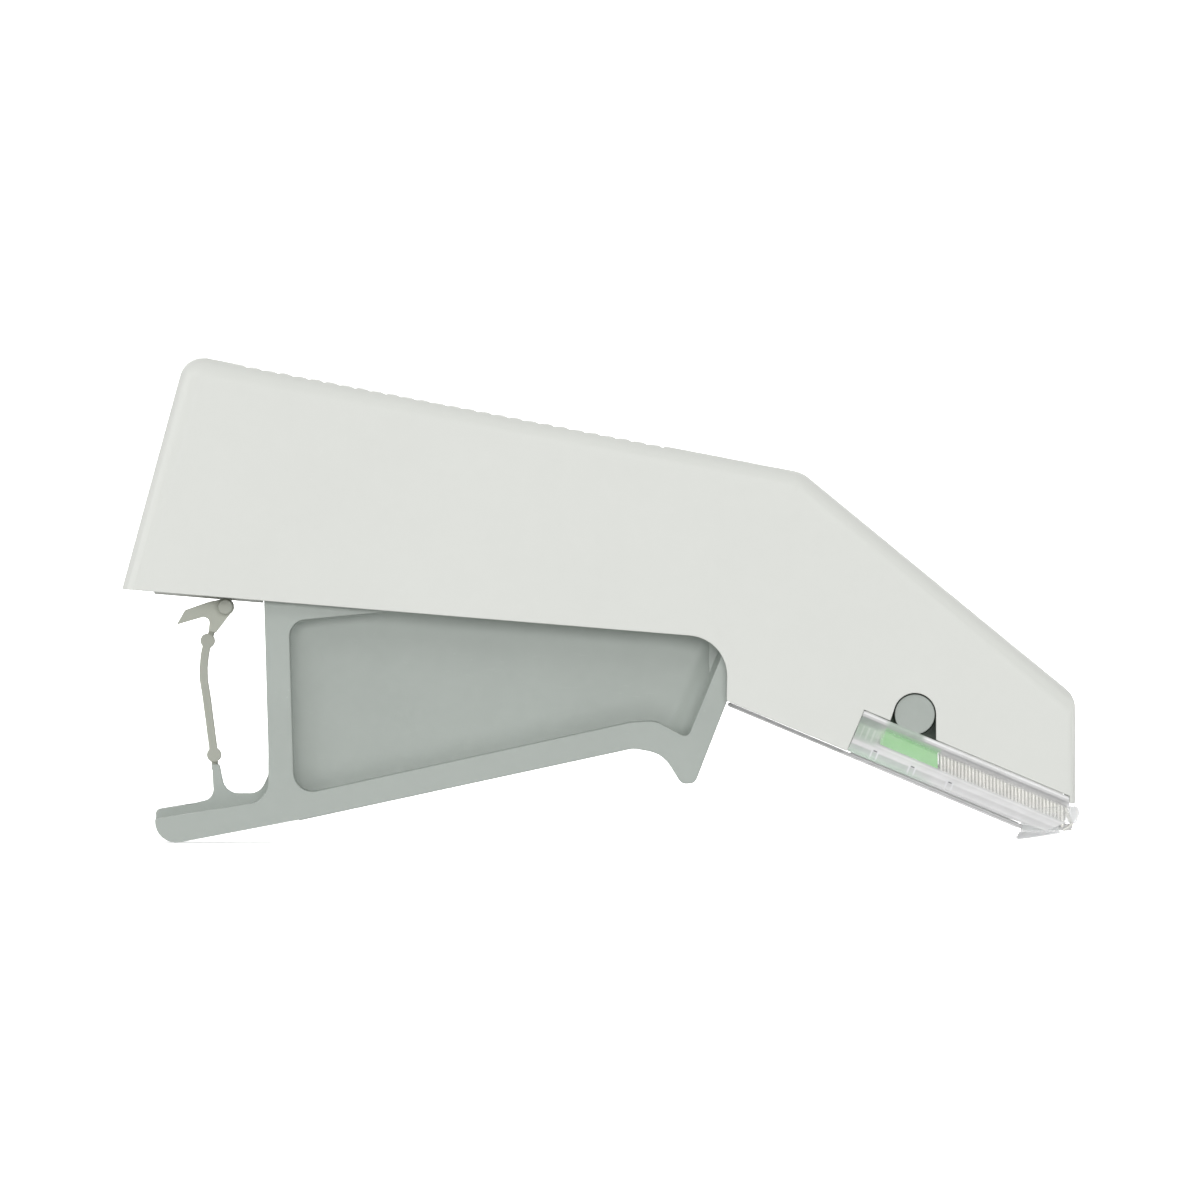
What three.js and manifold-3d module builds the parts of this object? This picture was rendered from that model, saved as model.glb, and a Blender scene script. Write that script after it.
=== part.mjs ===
// A disposable skin stapler: hollow two-part housing, squeeze lever with its ratchet pawl,
// clear staple magazine with a sprung pusher, and a steel driver and anvil at the nose.
// Millimetres. +X points to the nose, +Y to the left, +Z up; the lever's heel stands on Z = 0.

import * as THREE from 'three';
import { mergeVertices } from 'three/addons/utils/BufferGeometryUtils.js';
import Module from 'manifold-3d';

const wasm = await Module();
wasm.setup();

// ---------------------------------------------------------------- driving dimensions

const FAR = 120; // reach of a cutting block past the part

// Housing, seen from the side. A corner is [x, z, fillet radius].
const HALF_WIDTH = 9; // mid-plane to the flat side
const WALL = 1.6;
const FRONT_WALL = 0.75; // thinner in front of the driver
const EDGE_ROUND = 3.4; // rounding between the outline and the flat sides
const FRONT_ROUND = 1.3; // the same at the vertical front face
const PARTING_GAP = 0.2; // seam between the shell halves
const REAR_FOOT = [-88.95, -12]; // the rear wall's line, carried on far below the shell
const REAR_TOP = [-64.9, 76.5, 3.7];
const SHOULDER = [31.6, 57.95, 5];
const BROW = [74.2, 23, 4];
const EDGE_REAR_Z = 39.65; // lower edge at the rear wall
const EDGE_SLOPE = -0.0818; // of the lower edge over the lever
const EDGE_REAR_X = -74.8;
const LEVER_MOUTH = [19.85, 6.3]; // x of the front end of the lever's opening, and its rounding
const MOUTH_FOOT = [19.7, 22.2];
const FRONT_FOOT_Z = 6.2;

// Screw bosses inside the shell: [x, z, radius].
const BOSSES = [[-62.5, 70.4, 2.2], [-24, 64.2, 2], [27, 51.6, 2.4], [58.5, 27.8, 1.8]];

// Serrations: a row of shallow round bumps along the top.
const BUMPS = 27;
const BUMP_PITCH = 2.45;
const BUMP_DEPTH = 0.35;
const BUMP_START_X = -55.3;
const BUMP_SEGMENTS = 3;

// Magazine frame: u runs down the staple rail to the nose, v is square to it. Its origin is
// the upper rear corner of the opening for the clear windows.
const RAIL_ORIGIN = [41.2, 20.8];
const RAIL_ANGLE = THREE.MathUtils.degToRad(22.8);
const WINDOW_HEIGHT = 7;
const FIT_GAP = 0.1;
const WINDOW_WALL = 1.2;
const NOSE_X = 73.2; // front end of the windows
const LEDGE_V = -5.45;
const POSTS_U = [3.5, 10.05, 16.6];
const CHANNEL_START_U = -18;
const CHANNEL_HALF = 1.95; // inside of the pusher's channel
const ROOF_U = [15.6, 32.6]; // roof over the staple row
const ROOF_V = [-0.8, -0.3];
const FLANGE_U = [0.4, 33.6]; // flange behind the windows' top edge
const NOTCH_U = [4, 12.5]; // where the trunnion's notch interrupts the flange
const RAIL_HALF = 2.6; // outside of the rail that the staples sit astride
const RAIL_TOP_V = -2;
const FLOOR_TOP_V = -5.6;

// Steel anvil plate under the magazine.
const PLATE_TOP_V = -7.1;
const PLATE_THICK = 0.65;
const PLATE_HALF = 2.8;

// Staples: round wire bent to a U, the legs vertical.
const WIRE = 0.52;
const STAPLE_HALF = 3.5; // mid-plane to the outside of a leg
const LEG = 3.7;
const LEG_POINT = 0.2;
const CROWN_BEND = 0.6;
const STAPLE_PITCH = 0.556;
const STAPLES_IN_ROW = 35;
const ROW_END_X = 72.25;
const CROWN_V = -1.6;
const CHAIN_LINK = 0.3; // width of the bridge that joins the row into one piece

// Lever, pivot and squeeze.
const PIVOT = [49.1, 20.1];
const TRUNNION_R = 3.15;
const TRUNNION_HALF = 8.4;
const NOTCH_R = 3.32;
const BEARING_R = 3.27;
const BEARING_Y = [3.4, 4.3]; // plates that the trunnion turns in, beside the lever's arm
const LEVER_HALF = 6.6;
const WEB_HALF = 1.3;
const ARM_HALF = 3;
const FINGER_HALF = 2.2;
const FINGER_TIP = [70.8, 18.7];
const FINGER_TIP_R = 1.15;
const POCKET_FILLET = 4;
const SQUEEZE = THREE.MathUtils.degToRad(13.4);

// Pawl: link and claw on two knuckles, with a cross pin.
const PAWL_HALF = 1;
const LOWER_KNUCKLE = [-60.6, 13.7];
const UPPER_KNUCKLE = [-61.6, 31.6];
const KNUCKLE_R = 1.15;
const LINK_HALF = 0.65;
const PIN_AT = [-58.8, 36.9];
const PIN_R = 1.17;
const PIN_HALF = 2.7;
const LINK_FLEX = THREE.MathUtils.degToRad(-8);
const HOOK_FLEX = THREE.MathUtils.degToRad(5);
const TRACK_INNER = 1.75;
const TRACK_OUTER = 2.95;
const TRACK_CLEARANCE = 0.45;
const SKIRT = [-70.1, -52.98]; // ends of the thin skirt beside the left half's track
const SKIRT_Y = [2.85, 3.5];
const SKIRT_Z = [-0.36, 0.6]; // its lower and upper edge, from the housing's edge
const TRACK_SPAN = [-69.8, -53.3];
const TRACK_TOP = 66;
const TRACK_RIB = 1;

// Driver.
const DRIVER_X = 73.02;
const BLADE_THICK = 0.55;
const BLADE_HALF = 3.4;
const BLADE_BOTTOM = 6.5;
const BLADE_TOP = 20.8;

// Springs.
const RETURN_X = 0;
const RETURN_R = 3.6;
const RETURN_WIRE = 0.45;
const RETURN_TURNS = 6;
const PUSHER_SPRING_R = 1.45;
const PUSHER_SPRING_WIRE = 0.2;
const PUSHER_SPRING_TURNS = 15;
const ROD_R = 0.5;
const ROD_V = -3.9;

// ---------------------------------------------------------------- finishes

const finish = (color, roughness, metalness, extra = {}) => ({ color, roughness, metalness, ...extra });
const FINISHES = {
  shell: finish(0xe6e7e1, 0.55, 0),
  lever: finish(0xa9b5ad, 0.5, 0),
  pawl: finish(0xbcc3b8, 0.5, 0),
  clear: finish(0xe8f0ee, 0.08, 0, { transparent: true, opacity: 0.35 }),
  steel: finish(0xc9cac8, 0.28, 1),
  staple: finish(0xd8d6cf, 0.3, 1),
  pusher: finish(0x96dc96, 0.45, 0),
  carrier: finish(0xd9dbd6, 0.5, 0),
};

// ---------------------------------------------------------------- outlines

/** A point of the magazine frame, as [x, z]. */
function rail(u, v) {
  const c = Math.cos(RAIL_ANGLE);
  const s = Math.sin(RAIL_ANGLE);
  return [RAIL_ORIGIN[0] + u * c + v * s, RAIL_ORIGIN[1] - u * s + v * c];
}

/** The u of the point on height v of the magazine frame that has the given x. */
function railU(x, v) {
  return (x - RAIL_ORIGIN[0] - v * Math.sin(RAIL_ANGLE)) / Math.cos(RAIL_ANGLE);
}

/** How far a corner's fillet reaches along each of its two edges. */
function filletReach(corners, i) {
  const [x, z, radius = 0] = corners[i];
  const before = corners[(i + corners.length - 1) % corners.length];
  const after = corners[(i + 1) % corners.length];
  const a = new THREE.Vector2(before[0] - x, before[1] - z).normalize();
  const b = new THREE.Vector2(after[0] - x, after[1] - z).normalize();
  return radius === 0 ? 0 : radius / Math.tan(Math.acos(THREE.MathUtils.clamp(a.dot(b), -1, 1)) / 2);
}

/** Stops the build when two fillets of an outline overlap on the edge between them. */
function checkFillets(corners) {
  corners.forEach((corner, i) => {
    const next = (i + 1) % corners.length;
    const length = Math.hypot(corners[next][0] - corner[0], corners[next][1] - corner[1]);
    const used = filletReach(corners, i) + filletReach(corners, next);
    if (used > length + 1e-6) {
      throw new Error(`fillets overlap between [${corner}] and [${corners[next]}]: ${used} > ${length}`);
    }
  });
}

/** A closed shape from corners [x, z, radius], each corner filleted with a true arc. */
function outline(corners) {
  checkFillets(corners);
  const shape = new THREE.Shape();
  corners.forEach((corner, i) => {
    const at = new THREE.Vector2(corner[0], corner[1]);
    const before = corners[(i + corners.length - 1) % corners.length];
    const after = corners[(i + 1) % corners.length];
    const inward = new THREE.Vector2(before[0], before[1]).sub(at).normalize();
    const outward = new THREE.Vector2(after[0], after[1]).sub(at).normalize();
    const place = i === 0 ? 'moveTo' : 'lineTo';
    const radius = corner[2] ?? 0;
    if (radius === 0) {
      shape[place](at.x, at.y);
      return;
    }
    const half = Math.acos(THREE.MathUtils.clamp(inward.dot(outward), -1, 1)) / 2;
    const reach = radius / Math.tan(half);
    const start = at.clone().addScaledVector(inward, reach);
    const end = at.clone().addScaledVector(outward, reach);
    const middle = inward.clone().add(outward).normalize();
    const centre = at.clone().addScaledVector(middle, radius / Math.sin(half));
    const clockwise = inward.cross(outward) > 0;
    shape[place](start.x, start.y);
    shape.absarc(
      centre.x,
      centre.y,
      radius,
      Math.atan2(start.y - centre.y, start.x - centre.x),
      Math.atan2(end.y - centre.y, end.x - centre.x),
      clockwise,
    );
  });
  return shape;
}

/** Corners of a clockwise outline with edge i (corner i to i + 1) moved inwards by distances[i]. */
function inset(corners, distances) {
  const lines = corners.map((corner, i) => {
    const next = corners[(i + 1) % corners.length];
    const along = new THREE.Vector2(next[0] - corner[0], next[1] - corner[1]).normalize();
    const right = new THREE.Vector2(along.y, -along.x);
    const from = new THREE.Vector2(corner[0], corner[1]).addScaledVector(right, distances[i]);
    return { from, along };
  });
  return corners.map((corner, i) => {
    const a = lines[(i + lines.length - 1) % lines.length];
    const b = lines[i];
    const step = b.from.clone().sub(a.from).cross(b.along) / a.along.cross(b.along);
    const point = a.from.clone().addScaledVector(a.along, step);
    const radius = corner[2] ? Math.max(corner[2] - WALL, 1) : 0;
    return [point.x, point.y, radius];
  });
}

/** A band of the given half width along a list of points, its ends square. */
function band(points, half) {
  const left = [];
  const right = [];
  points.forEach((point, i) => {
    const before = points[Math.max(i - 1, 0)];
    const after = points[Math.min(i + 1, points.length - 1)];
    const along = new THREE.Vector2(after[0] - before[0], after[1] - before[1]).normalize();
    left.push([point[0] - along.y * half, point[1] + along.x * half]);
    right.unshift([point[0] + along.y * half, point[1] - along.x * half]);
  });
  return outline([...left, ...right]);
}

/** Turns point [x, z] about centre by an angle about +Y. */
function turn(point, centre, angle) {
  const dx = point[0] - centre[0];
  const dz = point[1] - centre[1];
  const c = Math.cos(angle);
  const s = Math.sin(angle);
  return [centre[0] + dx * c + dz * s, centre[1] - dx * s + dz * c];
}

// ---------------------------------------------------------------- solids

/** A three.js geometry as a solid that can be joined and cut. */
function solid(geometry) {
  const bare = geometry.clone();
  bare.deleteAttribute('normal');
  bare.deleteAttribute('uv');
  const merged = mergeVertices(bare, 1e-5);
  const vertProperties = merged.attributes.position.array;
  const triVerts = Uint32Array.from(merged.index.array);
  const body = new wasm.Manifold(new wasm.Mesh({ numProp: 3, vertProperties, triVerts }));
  if (body.volume() >= 0) {
    return body;
  }
  triVerts.reverse();
  return new wasm.Manifold(new wasm.Mesh({ numProp: 3, vertProperties, triVerts }));
}

function join(...bodies) {
  return bodies.reduce((whole, body) => whole.add(body));
}

function cut(body, ...tools) {
  return tools.reduce((whole, tool) => whole.subtract(tool), body);
}

/** A side-view shape given thickness from y = low to y = high, with optional rounded rims. */
function plate(shape, low, high, round = 0, roundSteps = 4, curveSegments = 4) {
  const geometry = new THREE.ExtrudeGeometry(shape, {
    depth: high - low - 2 * round,
    curveSegments,
    bevelEnabled: round > 0,
    bevelThickness: round,
    bevelSize: round,
    bevelOffset: -round,
    bevelSegments: roundSteps,
  });
  geometry.rotateX(Math.PI / 2);
  geometry.translate(0, high - round, 0);
  return solid(geometry);
}

/** The same plate on both sides of the mid-plane. */
function platePair(shape, inner, outer) {
  return join(plate(shape, inner, outer), plate(shape, -outer, -inner));
}

function block(x0, x1, y0, y1, z0, z1) {
  const geometry = new THREE.BoxGeometry(x1 - x0, y1 - y0, z1 - z0);
  geometry.translate((x0 + x1) / 2, (y0 + y1) / 2, (z0 + z1) / 2);
  return solid(geometry);
}

function blockPair(x0, x1, inner, outer, z0, z1) {
  return join(block(x0, x1, inner, outer, z0, z1), block(x0, x1, -outer, -inner, z0, z1));
}

/** A block in the magazine frame. */
function railShape(u0, u1, v0, v1) {
  return outline([rail(u0, v0), rail(u0, v1), rail(u1, v1), rail(u1, v0)]);
}

function axle(at, radius, low, high, segments = 18) {
  const geometry = new THREE.CylinderGeometry(radius, radius, high - low, segments);
  geometry.translate(at[0], (low + high) / 2, at[1]);
  return solid(geometry);
}

function post(x, z0, z1, radius, segments = 20) {
  const geometry = new THREE.CylinderGeometry(radius, radius, z1 - z0, segments);
  geometry.rotateX(Math.PI / 2);
  geometry.translate(x, 0, (z0 + z1) / 2);
  return solid(geometry);
}

/** A coil spring of round wire: radius, length and turns along +Z from the origin. */
class Helix extends THREE.Curve {
  constructor(radius, length, turns) {
    super();
    this.radius = radius;
    this.length = length;
    this.turns = turns;
  }

  getPoint(t, target = new THREE.Vector3()) {
    const angle = 2 * Math.PI * this.turns * t;
    return target.set(this.radius * Math.cos(angle), this.radius * Math.sin(angle), this.length * t);
  }
}

function coil(radius, length, turns, wire, stepsPerTurn, sides) {
  const section = new THREE.Shape();
  section.absarc(0, 0, wire, 0, 2 * Math.PI);
  return new THREE.ExtrudeGeometry(section, {
    steps: Math.round(turns * stepsPerTurn),
    curveSegments: sides,
    bevelEnabled: false,
    extrudePath: new Helix(radius, length, turns),
  });
}

// ---------------------------------------------------------------- housing

/** z of the housing's lower edge over the lever. */
function edgeZ(x) {
  return EDGE_REAR_Z + EDGE_SLOPE * (x - EDGE_REAR_X);
}

/** z of the top line, before the serrations. */
function topZ(x) {
  const slope = (SHOULDER[1] - REAR_TOP[1]) / (SHOULDER[0] - REAR_TOP[0]);
  return REAR_TOP[1] + slope * (x - REAR_TOP[0]);
}

/** The outside of the housing, rounded at its edges and still closed far below. */
function housingBlank() {
  const slope = (BROW[1] - SHOULDER[1]) / (BROW[0] - SHOULDER[0]);
  const ahead = BROW[0] + 8;
  const behind = SHOULDER[0] - 80;
  const main = outline([
    REAR_FOOT,
    REAR_TOP,
    SHOULDER,
    [ahead, BROW[1] + 8 * slope],
    [ahead, REAR_FOOT[1]],
  ]);
  const front = outline([
    [-FAR, REAR_FOOT[1]],
    [-FAR, FAR],
    [behind, BROW[1] + slope * (behind - BROW[0])],
    BROW,
    [BROW[0], REAR_FOOT[1]],
  ]);
  const rounded = plate(main, -HALF_WIDTH, HALF_WIDTH, EDGE_ROUND, 4);
  return rounded.intersect(plate(front, -HALF_WIDTH, HALF_WIDTH, FRONT_ROUND, 3));
}

/** The hollow inside the housing, open downwards. */
function housingHollow() {
  const corners = [REAR_FOOT, REAR_TOP, SHOULDER, BROW, [BROW[0], REAR_FOOT[1]]];
  const inner = inset(corners, [WALL, WALL, WALL, FRONT_WALL, -10]);
  return plate(outline(inner), WALL - HALF_WIDTH, HALF_WIDTH - WALL, EDGE_ROUND - WALL, 3);
}

/** Everything below the housing's lower edge, with the opening for the clear windows. */
function belowHousing() {
  const shape = outline([
    [-FAR, edgeZ(-FAR)],
    [LEVER_MOUTH[0], edgeZ(LEVER_MOUTH[0]), LEVER_MOUTH[1]],
    MOUTH_FOOT,
    rail(0, -WINDOW_HEIGHT),
    rail(0, 0),
    rail(railU(NOSE_X + FIT_GAP, 0), 0),
    [NOSE_X + FIT_GAP, FRONT_FOOT_Z],
    [FAR, FRONT_FOOT_Z],
    [FAR, -FAR],
    [-FAR, -FAR],
  ]);
  return plate(shape, -FAR, FAR, 0, 0, 10);
}

/** The notch in each side that the lever's trunnion drops into from below. */
function trunnionNotch() {
  const shape = new THREE.Shape();
  const left = THREE.MathUtils.degToRad(156);
  shape.moveTo(PIVOT[0] - 3.95, PIVOT[1] - 1.4);
  shape.lineTo(PIVOT[0] + NOTCH_R * Math.cos(left), PIVOT[1] + NOTCH_R * Math.sin(left));
  shape.absarc(PIVOT[0], PIVOT[1], NOTCH_R, left, 0, true);
  shape.lineTo(PIVOT[0] + NOTCH_R, PIVOT[1] - 5);
  return plate(shape, -FAR, FAR, 0, 0, 24);
}

/** What is cut away above the row of bumps. */
function serrationCutter() {
  const lift = 6;
  const shape = new THREE.Shape();
  const radius = (BUMP_PITCH ** 2 / 4 + BUMP_DEPTH ** 2) / (2 * BUMP_DEPTH);
  const tilt = Math.atan2(SHOULDER[1] - REAR_TOP[1], SHOULDER[0] - REAR_TOP[0]);
  const half = Math.asin(BUMP_PITCH / 2 / radius);
  const ends = [];
  for (let i = 0; i <= BUMPS; i += 1) {
    const x = BUMP_START_X + i * BUMP_PITCH * Math.cos(tilt);
    ends.push([x, topZ(x) - BUMP_DEPTH / Math.cos(tilt)]);
  }
  shape.moveTo(ends[0][0] - 0.6, topZ(ends[0][0] - 0.6) + 0.02);
  shape.lineTo(ends[0][0], ends[0][1]);
  for (let i = 0; i < BUMPS; i += 1) {
    const middleX = (ends[i][0] + ends[i + 1][0]) / 2;
    const middleZ = (ends[i][1] + ends[i + 1][1]) / 2;
    const drop = radius * Math.cos(half);
    const centreX = middleX + drop * Math.sin(tilt);
    const centreZ = middleZ - drop * Math.cos(tilt);
    const start = Math.PI / 2 + tilt + half;
    shape.absarc(centreX, centreZ, radius, start, start - 2 * half, true);
  }
  const last = ends[BUMPS];
  shape.lineTo(last[0] + 0.6, topZ(last[0] + 0.6) + 0.02);
  shape.lineTo(last[0] + 0.6, topZ(last[0]) + lift);
  shape.lineTo(ends[0][0] - 0.6, topZ(ends[0][0]) + lift);
  return plate(shape, -FAR, FAR, 0, 0, BUMP_SEGMENTS);
}

/** Where a point of the claw stands when the lever is squeezed by a share of its travel. */
function clawPath(point, share) {
  const squeeze = SQUEEZE * share;
  const low = turn(LOWER_KNUCKLE, PIVOT, squeeze);
  const knuckle = turn(turn(UPPER_KNUCKLE, PIVOT, squeeze), low, LINK_FLEX * share);
  const carried = turn(turn(point, PIVOT, squeeze), low, LINK_FLEX * share);
  return turn(carried, knuckle, HOOK_FLEX * share);
}

/** The pin's track: a slotted plate in each half, held by two cross ribs. */
function pinTrack() {
  const [left, right] = TRACK_SPAN;
  const column = (x0, x1) => outline([
    [x0, edgeZ(x0) + 0.3],
    [x0, TRACK_TOP],
    [x1, TRACK_TOP],
    [x1, edgeZ(x1) + 0.3],
  ]);
  const ribs = [left, right - TRACK_RIB].map((x) => {
    return platePair(column(x, x + TRACK_RIB), TRACK_INNER, HALF_WIDTH - 1);
  });
  const steps = 8;
  const path = [];
  for (let i = -1; i <= steps; i += 1) {
    path.push(clawPath(PIN_AT, i / steps));
  }
  const half = PIN_R + TRACK_CLEARANCE;
  const reach = HALF_WIDTH - WALL - 0.1;
  const slotEnd = axle(path[path.length - 1], half, -reach, reach, 20);
  const slot = join(plate(band(path, half), -reach, reach), slotEnd);
  return cut(join(platePair(column(left, right), TRACK_INNER, TRACK_OUTER), ...ribs), slot);
}

/** Thin skirt that closes the left half's track along the housing's lower edge. */
function trackSkirt() {
  const [left, right] = SKIRT;
  const [low, high] = SKIRT_Z;
  const shape = outline([
    [left, edgeZ(left) + low],
    [left, edgeZ(left) + high],
    [right, edgeZ(right) + high],
    [right, edgeZ(right) + low],
  ]);
  return plate(shape, ...SKIRT_Y);
}

/** Bearing plates around the trunnion, one inside each half, held to the walls by ribs. */
function bearings() {
  const [inner, outer] = BEARING_Y;
  const wall = HALF_WIDTH - WALL + 0.1;
  const bore = axle(PIVOT, BEARING_R, -FAR, FAR, 40);
  return join(
    cut(platePair(railShape(3.4, 13.9, -0.8, 4.6), inner, outer), bore),
    platePair(railShape(13.1, 13.9, -0.8, 3), inner, wall),
    platePair(railShape(2.8, 3.6, 0.2, 4.6), inner, wall),
  );
}

/** The row of ratchet teeth on the left half's rear wall, just behind the claw's path. */
function ratchetRack() {
  const teeth = 8;
  const depth = 0.9;
  const clear = 0.7;
  const back = (z) => EDGE_REAR_X + (z - EDGE_REAR_Z) * 0.27 + WALL / 2;
  const points = [];
  for (let i = 0; i <= teeth; i += 1) {
    const [x, z] = clawPath(CLAW_TIP, 0.22 + (0.78 * i) / teeth);
    points.push([x - clear - depth, z - 0.05]);
    if (i < teeth) {
      points.push([x - clear, z + 0.6]);
    }
  }
  const first = points[0];
  const last = points[points.length - 1];
  const shape = outline([[back(first[1]), first[1]], ...points, [back(last[1]), last[1]]]);
  return plate(shape, PARTING_GAP / 2, 1.5);
}

/** Bosses, spring locator, driver guides and nose floor, moulded inside both halves. */
function housingInside() {
  const reach = HALF_WIDTH - 1;
  const parts = BOSSES.map(([x, z, r]) => axle([x, z], r, -reach, reach, 20));
  parts.push(post(RETURN_X, 57.5, topZ(RETURN_X) - 1, 2.4));
  parts.push(blockPair(70.6, 72.1, 3.8, reach, 10.2, 24.5));
  const floor = railShape(CHANNEL_START_U - 0.4, -0.3, -WINDOW_HEIGHT, FLOOR_TOP_V);
  parts.push(platePair(floor, 3.8, reach));
  return join(...parts);
}

/** Roof of the staple channel: a slab over the row, and a flange behind each window's top edge. */
function channelRoof() {
  const wall = HALF_WIDTH - WALL;
  const side = (u0, u1, top) => platePair(railShape(u0, u1, ROOF_V[0], top), wall - 1, wall + 0.1);
  const slab = plate(railShape(ROOF_U[0], ROOF_U[1], ROOF_V[0], ROOF_V[1]), -wall - 0.1, wall + 0.1);
  const [start, end] = FLANGE_U;
  const flanges = join(side(start, end, -0.1), side(start, NOTCH_U[0], 1), side(NOTCH_U[1], end, 1));
  return join(slab, cut(flanges, axle(PIVOT, TRUNNION_R + 0.5, -FAR, FAR, 40)));
}

function housing() {
  const blank = housingBlank();
  const shell = cut(blank, housingHollow());
  const inside = housingInside().intersect(blank);
  const whole = cut(join(shell, inside), belowHousing(), trunnionNotch(), serrationCutter());
  return join(whole, pinTrack().intersect(blank), channelRoof(), bearings());
}

function housingHalves() {
  const whole = housing();
  const half = PARTING_GAP / 2;
  const right = cut(whole, block(-FAR, FAR, -half, FAR, -FAR, FAR));
  const left = cut(whole, block(-FAR, FAR, -FAR, half, -FAR, FAR));
  return { right, left: join(left, ratchetRack(), trackSkirt()) };
}

// ---------------------------------------------------------------- lever

const HEEL_TIP_X = -69.7;
const HEEL_ROUND = 3.3;
const UNDERSIDE = [[HEEL_TIP_X, -0.65, HEEL_ROUND], [-47, 3.5, 40], [5.2, 14.75, 4], [9.7, 13.9, 5]];
const FINGER_HOOK = [[12.65, 9.2, 1.3], [14.75, 9.3, 1.2]];
const LEVER_FRONT_TOP = [24.1, 33.2, 3];
const RIM_TOP = [[23.2, 37.4, 2], [-25, 39.6], [-52.75, 41, 1]];
const WALL_FOOT = [-52, 14.5];

/** Outline of the flange: heel arm, rear wall, top rim, front band and finger hook. */
function flangeOutline() {
  const front = [MOUTH_FOOT[0] + 0.05, MOUTH_FOOT[1] - 0.2];
  const heelTop = [[-52, 6.55, 3.4], [HEEL_TIP_X, 3.75, 0.3]];
  return outline([...UNDERSIDE, ...FINGER_HOOK, front, LEVER_FRONT_TOP, ...RIM_TOP, WALL_FOOT, ...heelTop]);
}

/** Outline of the web: as the flange, but higher along the heel, with the pawl's root post. */
function webOutline() {
  const front = [MOUTH_FOOT[0] + 0.05, MOUTH_FOOT[1] - 0.2];
  const postTop = LOWER_KNUCKLE[1] - KNUCKLE_R - 0.3;
  const heelTop = [
    [-52, 10.8, 0],
    [-53.4, 7.7, 2.5],
    [-58.8, 7.7, 2.5],
    [-59.75, postTop, 0],
    [-60.95, postTop, 0],
    [-60.6, 6.9, 1.8],
    [-63.6, 6.2, 4],
    [HEEL_TIP_X, 5.2, 0.8],
  ];
  return outline([...UNDERSIDE, ...FINGER_HOOK, front, LEVER_FRONT_TOP, ...RIM_TOP, WALL_FOOT, ...heelTop]);
}

/** Outline of the pocket on each side of the web. */
function pocketOutline() {
  return outline([
    [-47.95, 7.3, 3],
    [4.7, 18.85, 3],
    [8.6, 19.1, 5],
    [13.6, 16.4, 0.9],
    [20.1, 32.2, 3],
    [19.8, 34.9, 1.5],
    [-25, 36.9],
    [-48.75, 34.65, 2.6],
  ]);
}

/** A quarter-round fillet along the pocket's front wall, on one side of the web. */
function pocketFillet(side) {
  const from = [13.6, 16.4];
  const to = [20.1, 32.2];
  const run = new THREE.Vector3(to[0] - from[0], 0, to[1] - from[1]).normalize();
  const across = new THREE.Vector3(-run.z, 0, run.x);
  const outwards = new THREE.Vector3(0, side, 0);
  const profile = new THREE.Shape();
  const sunk = 0.4;
  profile.moveTo(-sunk, -sunk);
  profile.lineTo(-sunk, POCKET_FILLET);
  profile.lineTo(0, POCKET_FILLET);
  profile.absarc(POCKET_FILLET, POCKET_FILLET, POCKET_FILLET, Math.PI, 1.5 * Math.PI, false);
  profile.lineTo(POCKET_FILLET, -sunk);
  const geometry = new THREE.ExtrudeGeometry(profile, { depth: 20, curveSegments: 10, bevelEnabled: false });
  const place = new THREE.Matrix4().makeBasis(across, outwards, run);
  place.setPosition(from[0] - run.x, side * WEB_HALF, from[1] - run.z);
  geometry.applyMatrix4(place);
  return solid(geometry);
}

/** The arm from the lever to its pivot, and the finger that works the driver. */
function leverArm() {
  const arm = outline([
    [17, 26.5, 0],
    [17, 38, 0],
    [24, 37, 6],
    [44, 25.6, 4],
    [PIVOT[0] + 1.2, PIVOT[1] + 4.6, 2],
    [PIVOT[0] + 4.2, PIVOT[1] + 1, 1],
    [PIVOT[0] + 4.2, PIVOT[1] - 1.6, 1],
    [PIVOT[0] + 2.8, PIVOT[1] - 3.3, 0],
    [PIVOT[0] - 3.6, PIVOT[1] - 1.9, 0],
    [40, 22.5, 3],
    [25, 28.6, 3],
  ]);
  const tip = FINGER_TIP;
  const finger = outline([
    [PIVOT[0], PIVOT[1] + 2.9, 0],
    [56, PIVOT[1] + 2.7, 6],
    [tip[0], tip[1] + 0.9],
    [tip[0], tip[1] - 0.9],
    [56, PIVOT[1] - 2.2, 6],
    [PIVOT[0], PIVOT[1] - 2.6, 0],
  ]);
  return join(
    plate(arm, -ARM_HALF, ARM_HALF),
    plate(finger, -FINGER_HALF, FINGER_HALF),
    axle(tip, FINGER_TIP_R, -FINGER_HALF, FINGER_HALF, 20),
    axle(PIVOT, TRUNNION_R, -TRUNNION_HALF, TRUNNION_HALF, 32),
  );
}

function trigger() {
  const blank = plate(flangeOutline(), -LEVER_HALF, LEVER_HALF);
  const flange = cut(blank, plate(pocketOutline(), -FAR, FAR));
  const web = plate(webOutline(), -WEB_HALF, WEB_HALF);
  const fillets = join(pocketFillet(1), pocketFillet(-1)).intersect(blank);
  return join(flange, web, fillets, leverArm());
}

/** Return coil between the lever's rim and the housing's top. */
function triggerSpring() {
  const foot = 39.4 + RETURN_WIRE;
  const head = topZ(RETURN_X) - WALL - 0.4 - 2 * RETURN_WIRE;
  const geometry = coil(RETURN_R, head - foot, RETURN_TURNS, RETURN_WIRE, 14, 3);
  geometry.translate(RETURN_X, 0, foot);
  return solid(geometry);
}

// ---------------------------------------------------------------- pawl

const CLAW_TIP = [-66.5, 34.1];

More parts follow.
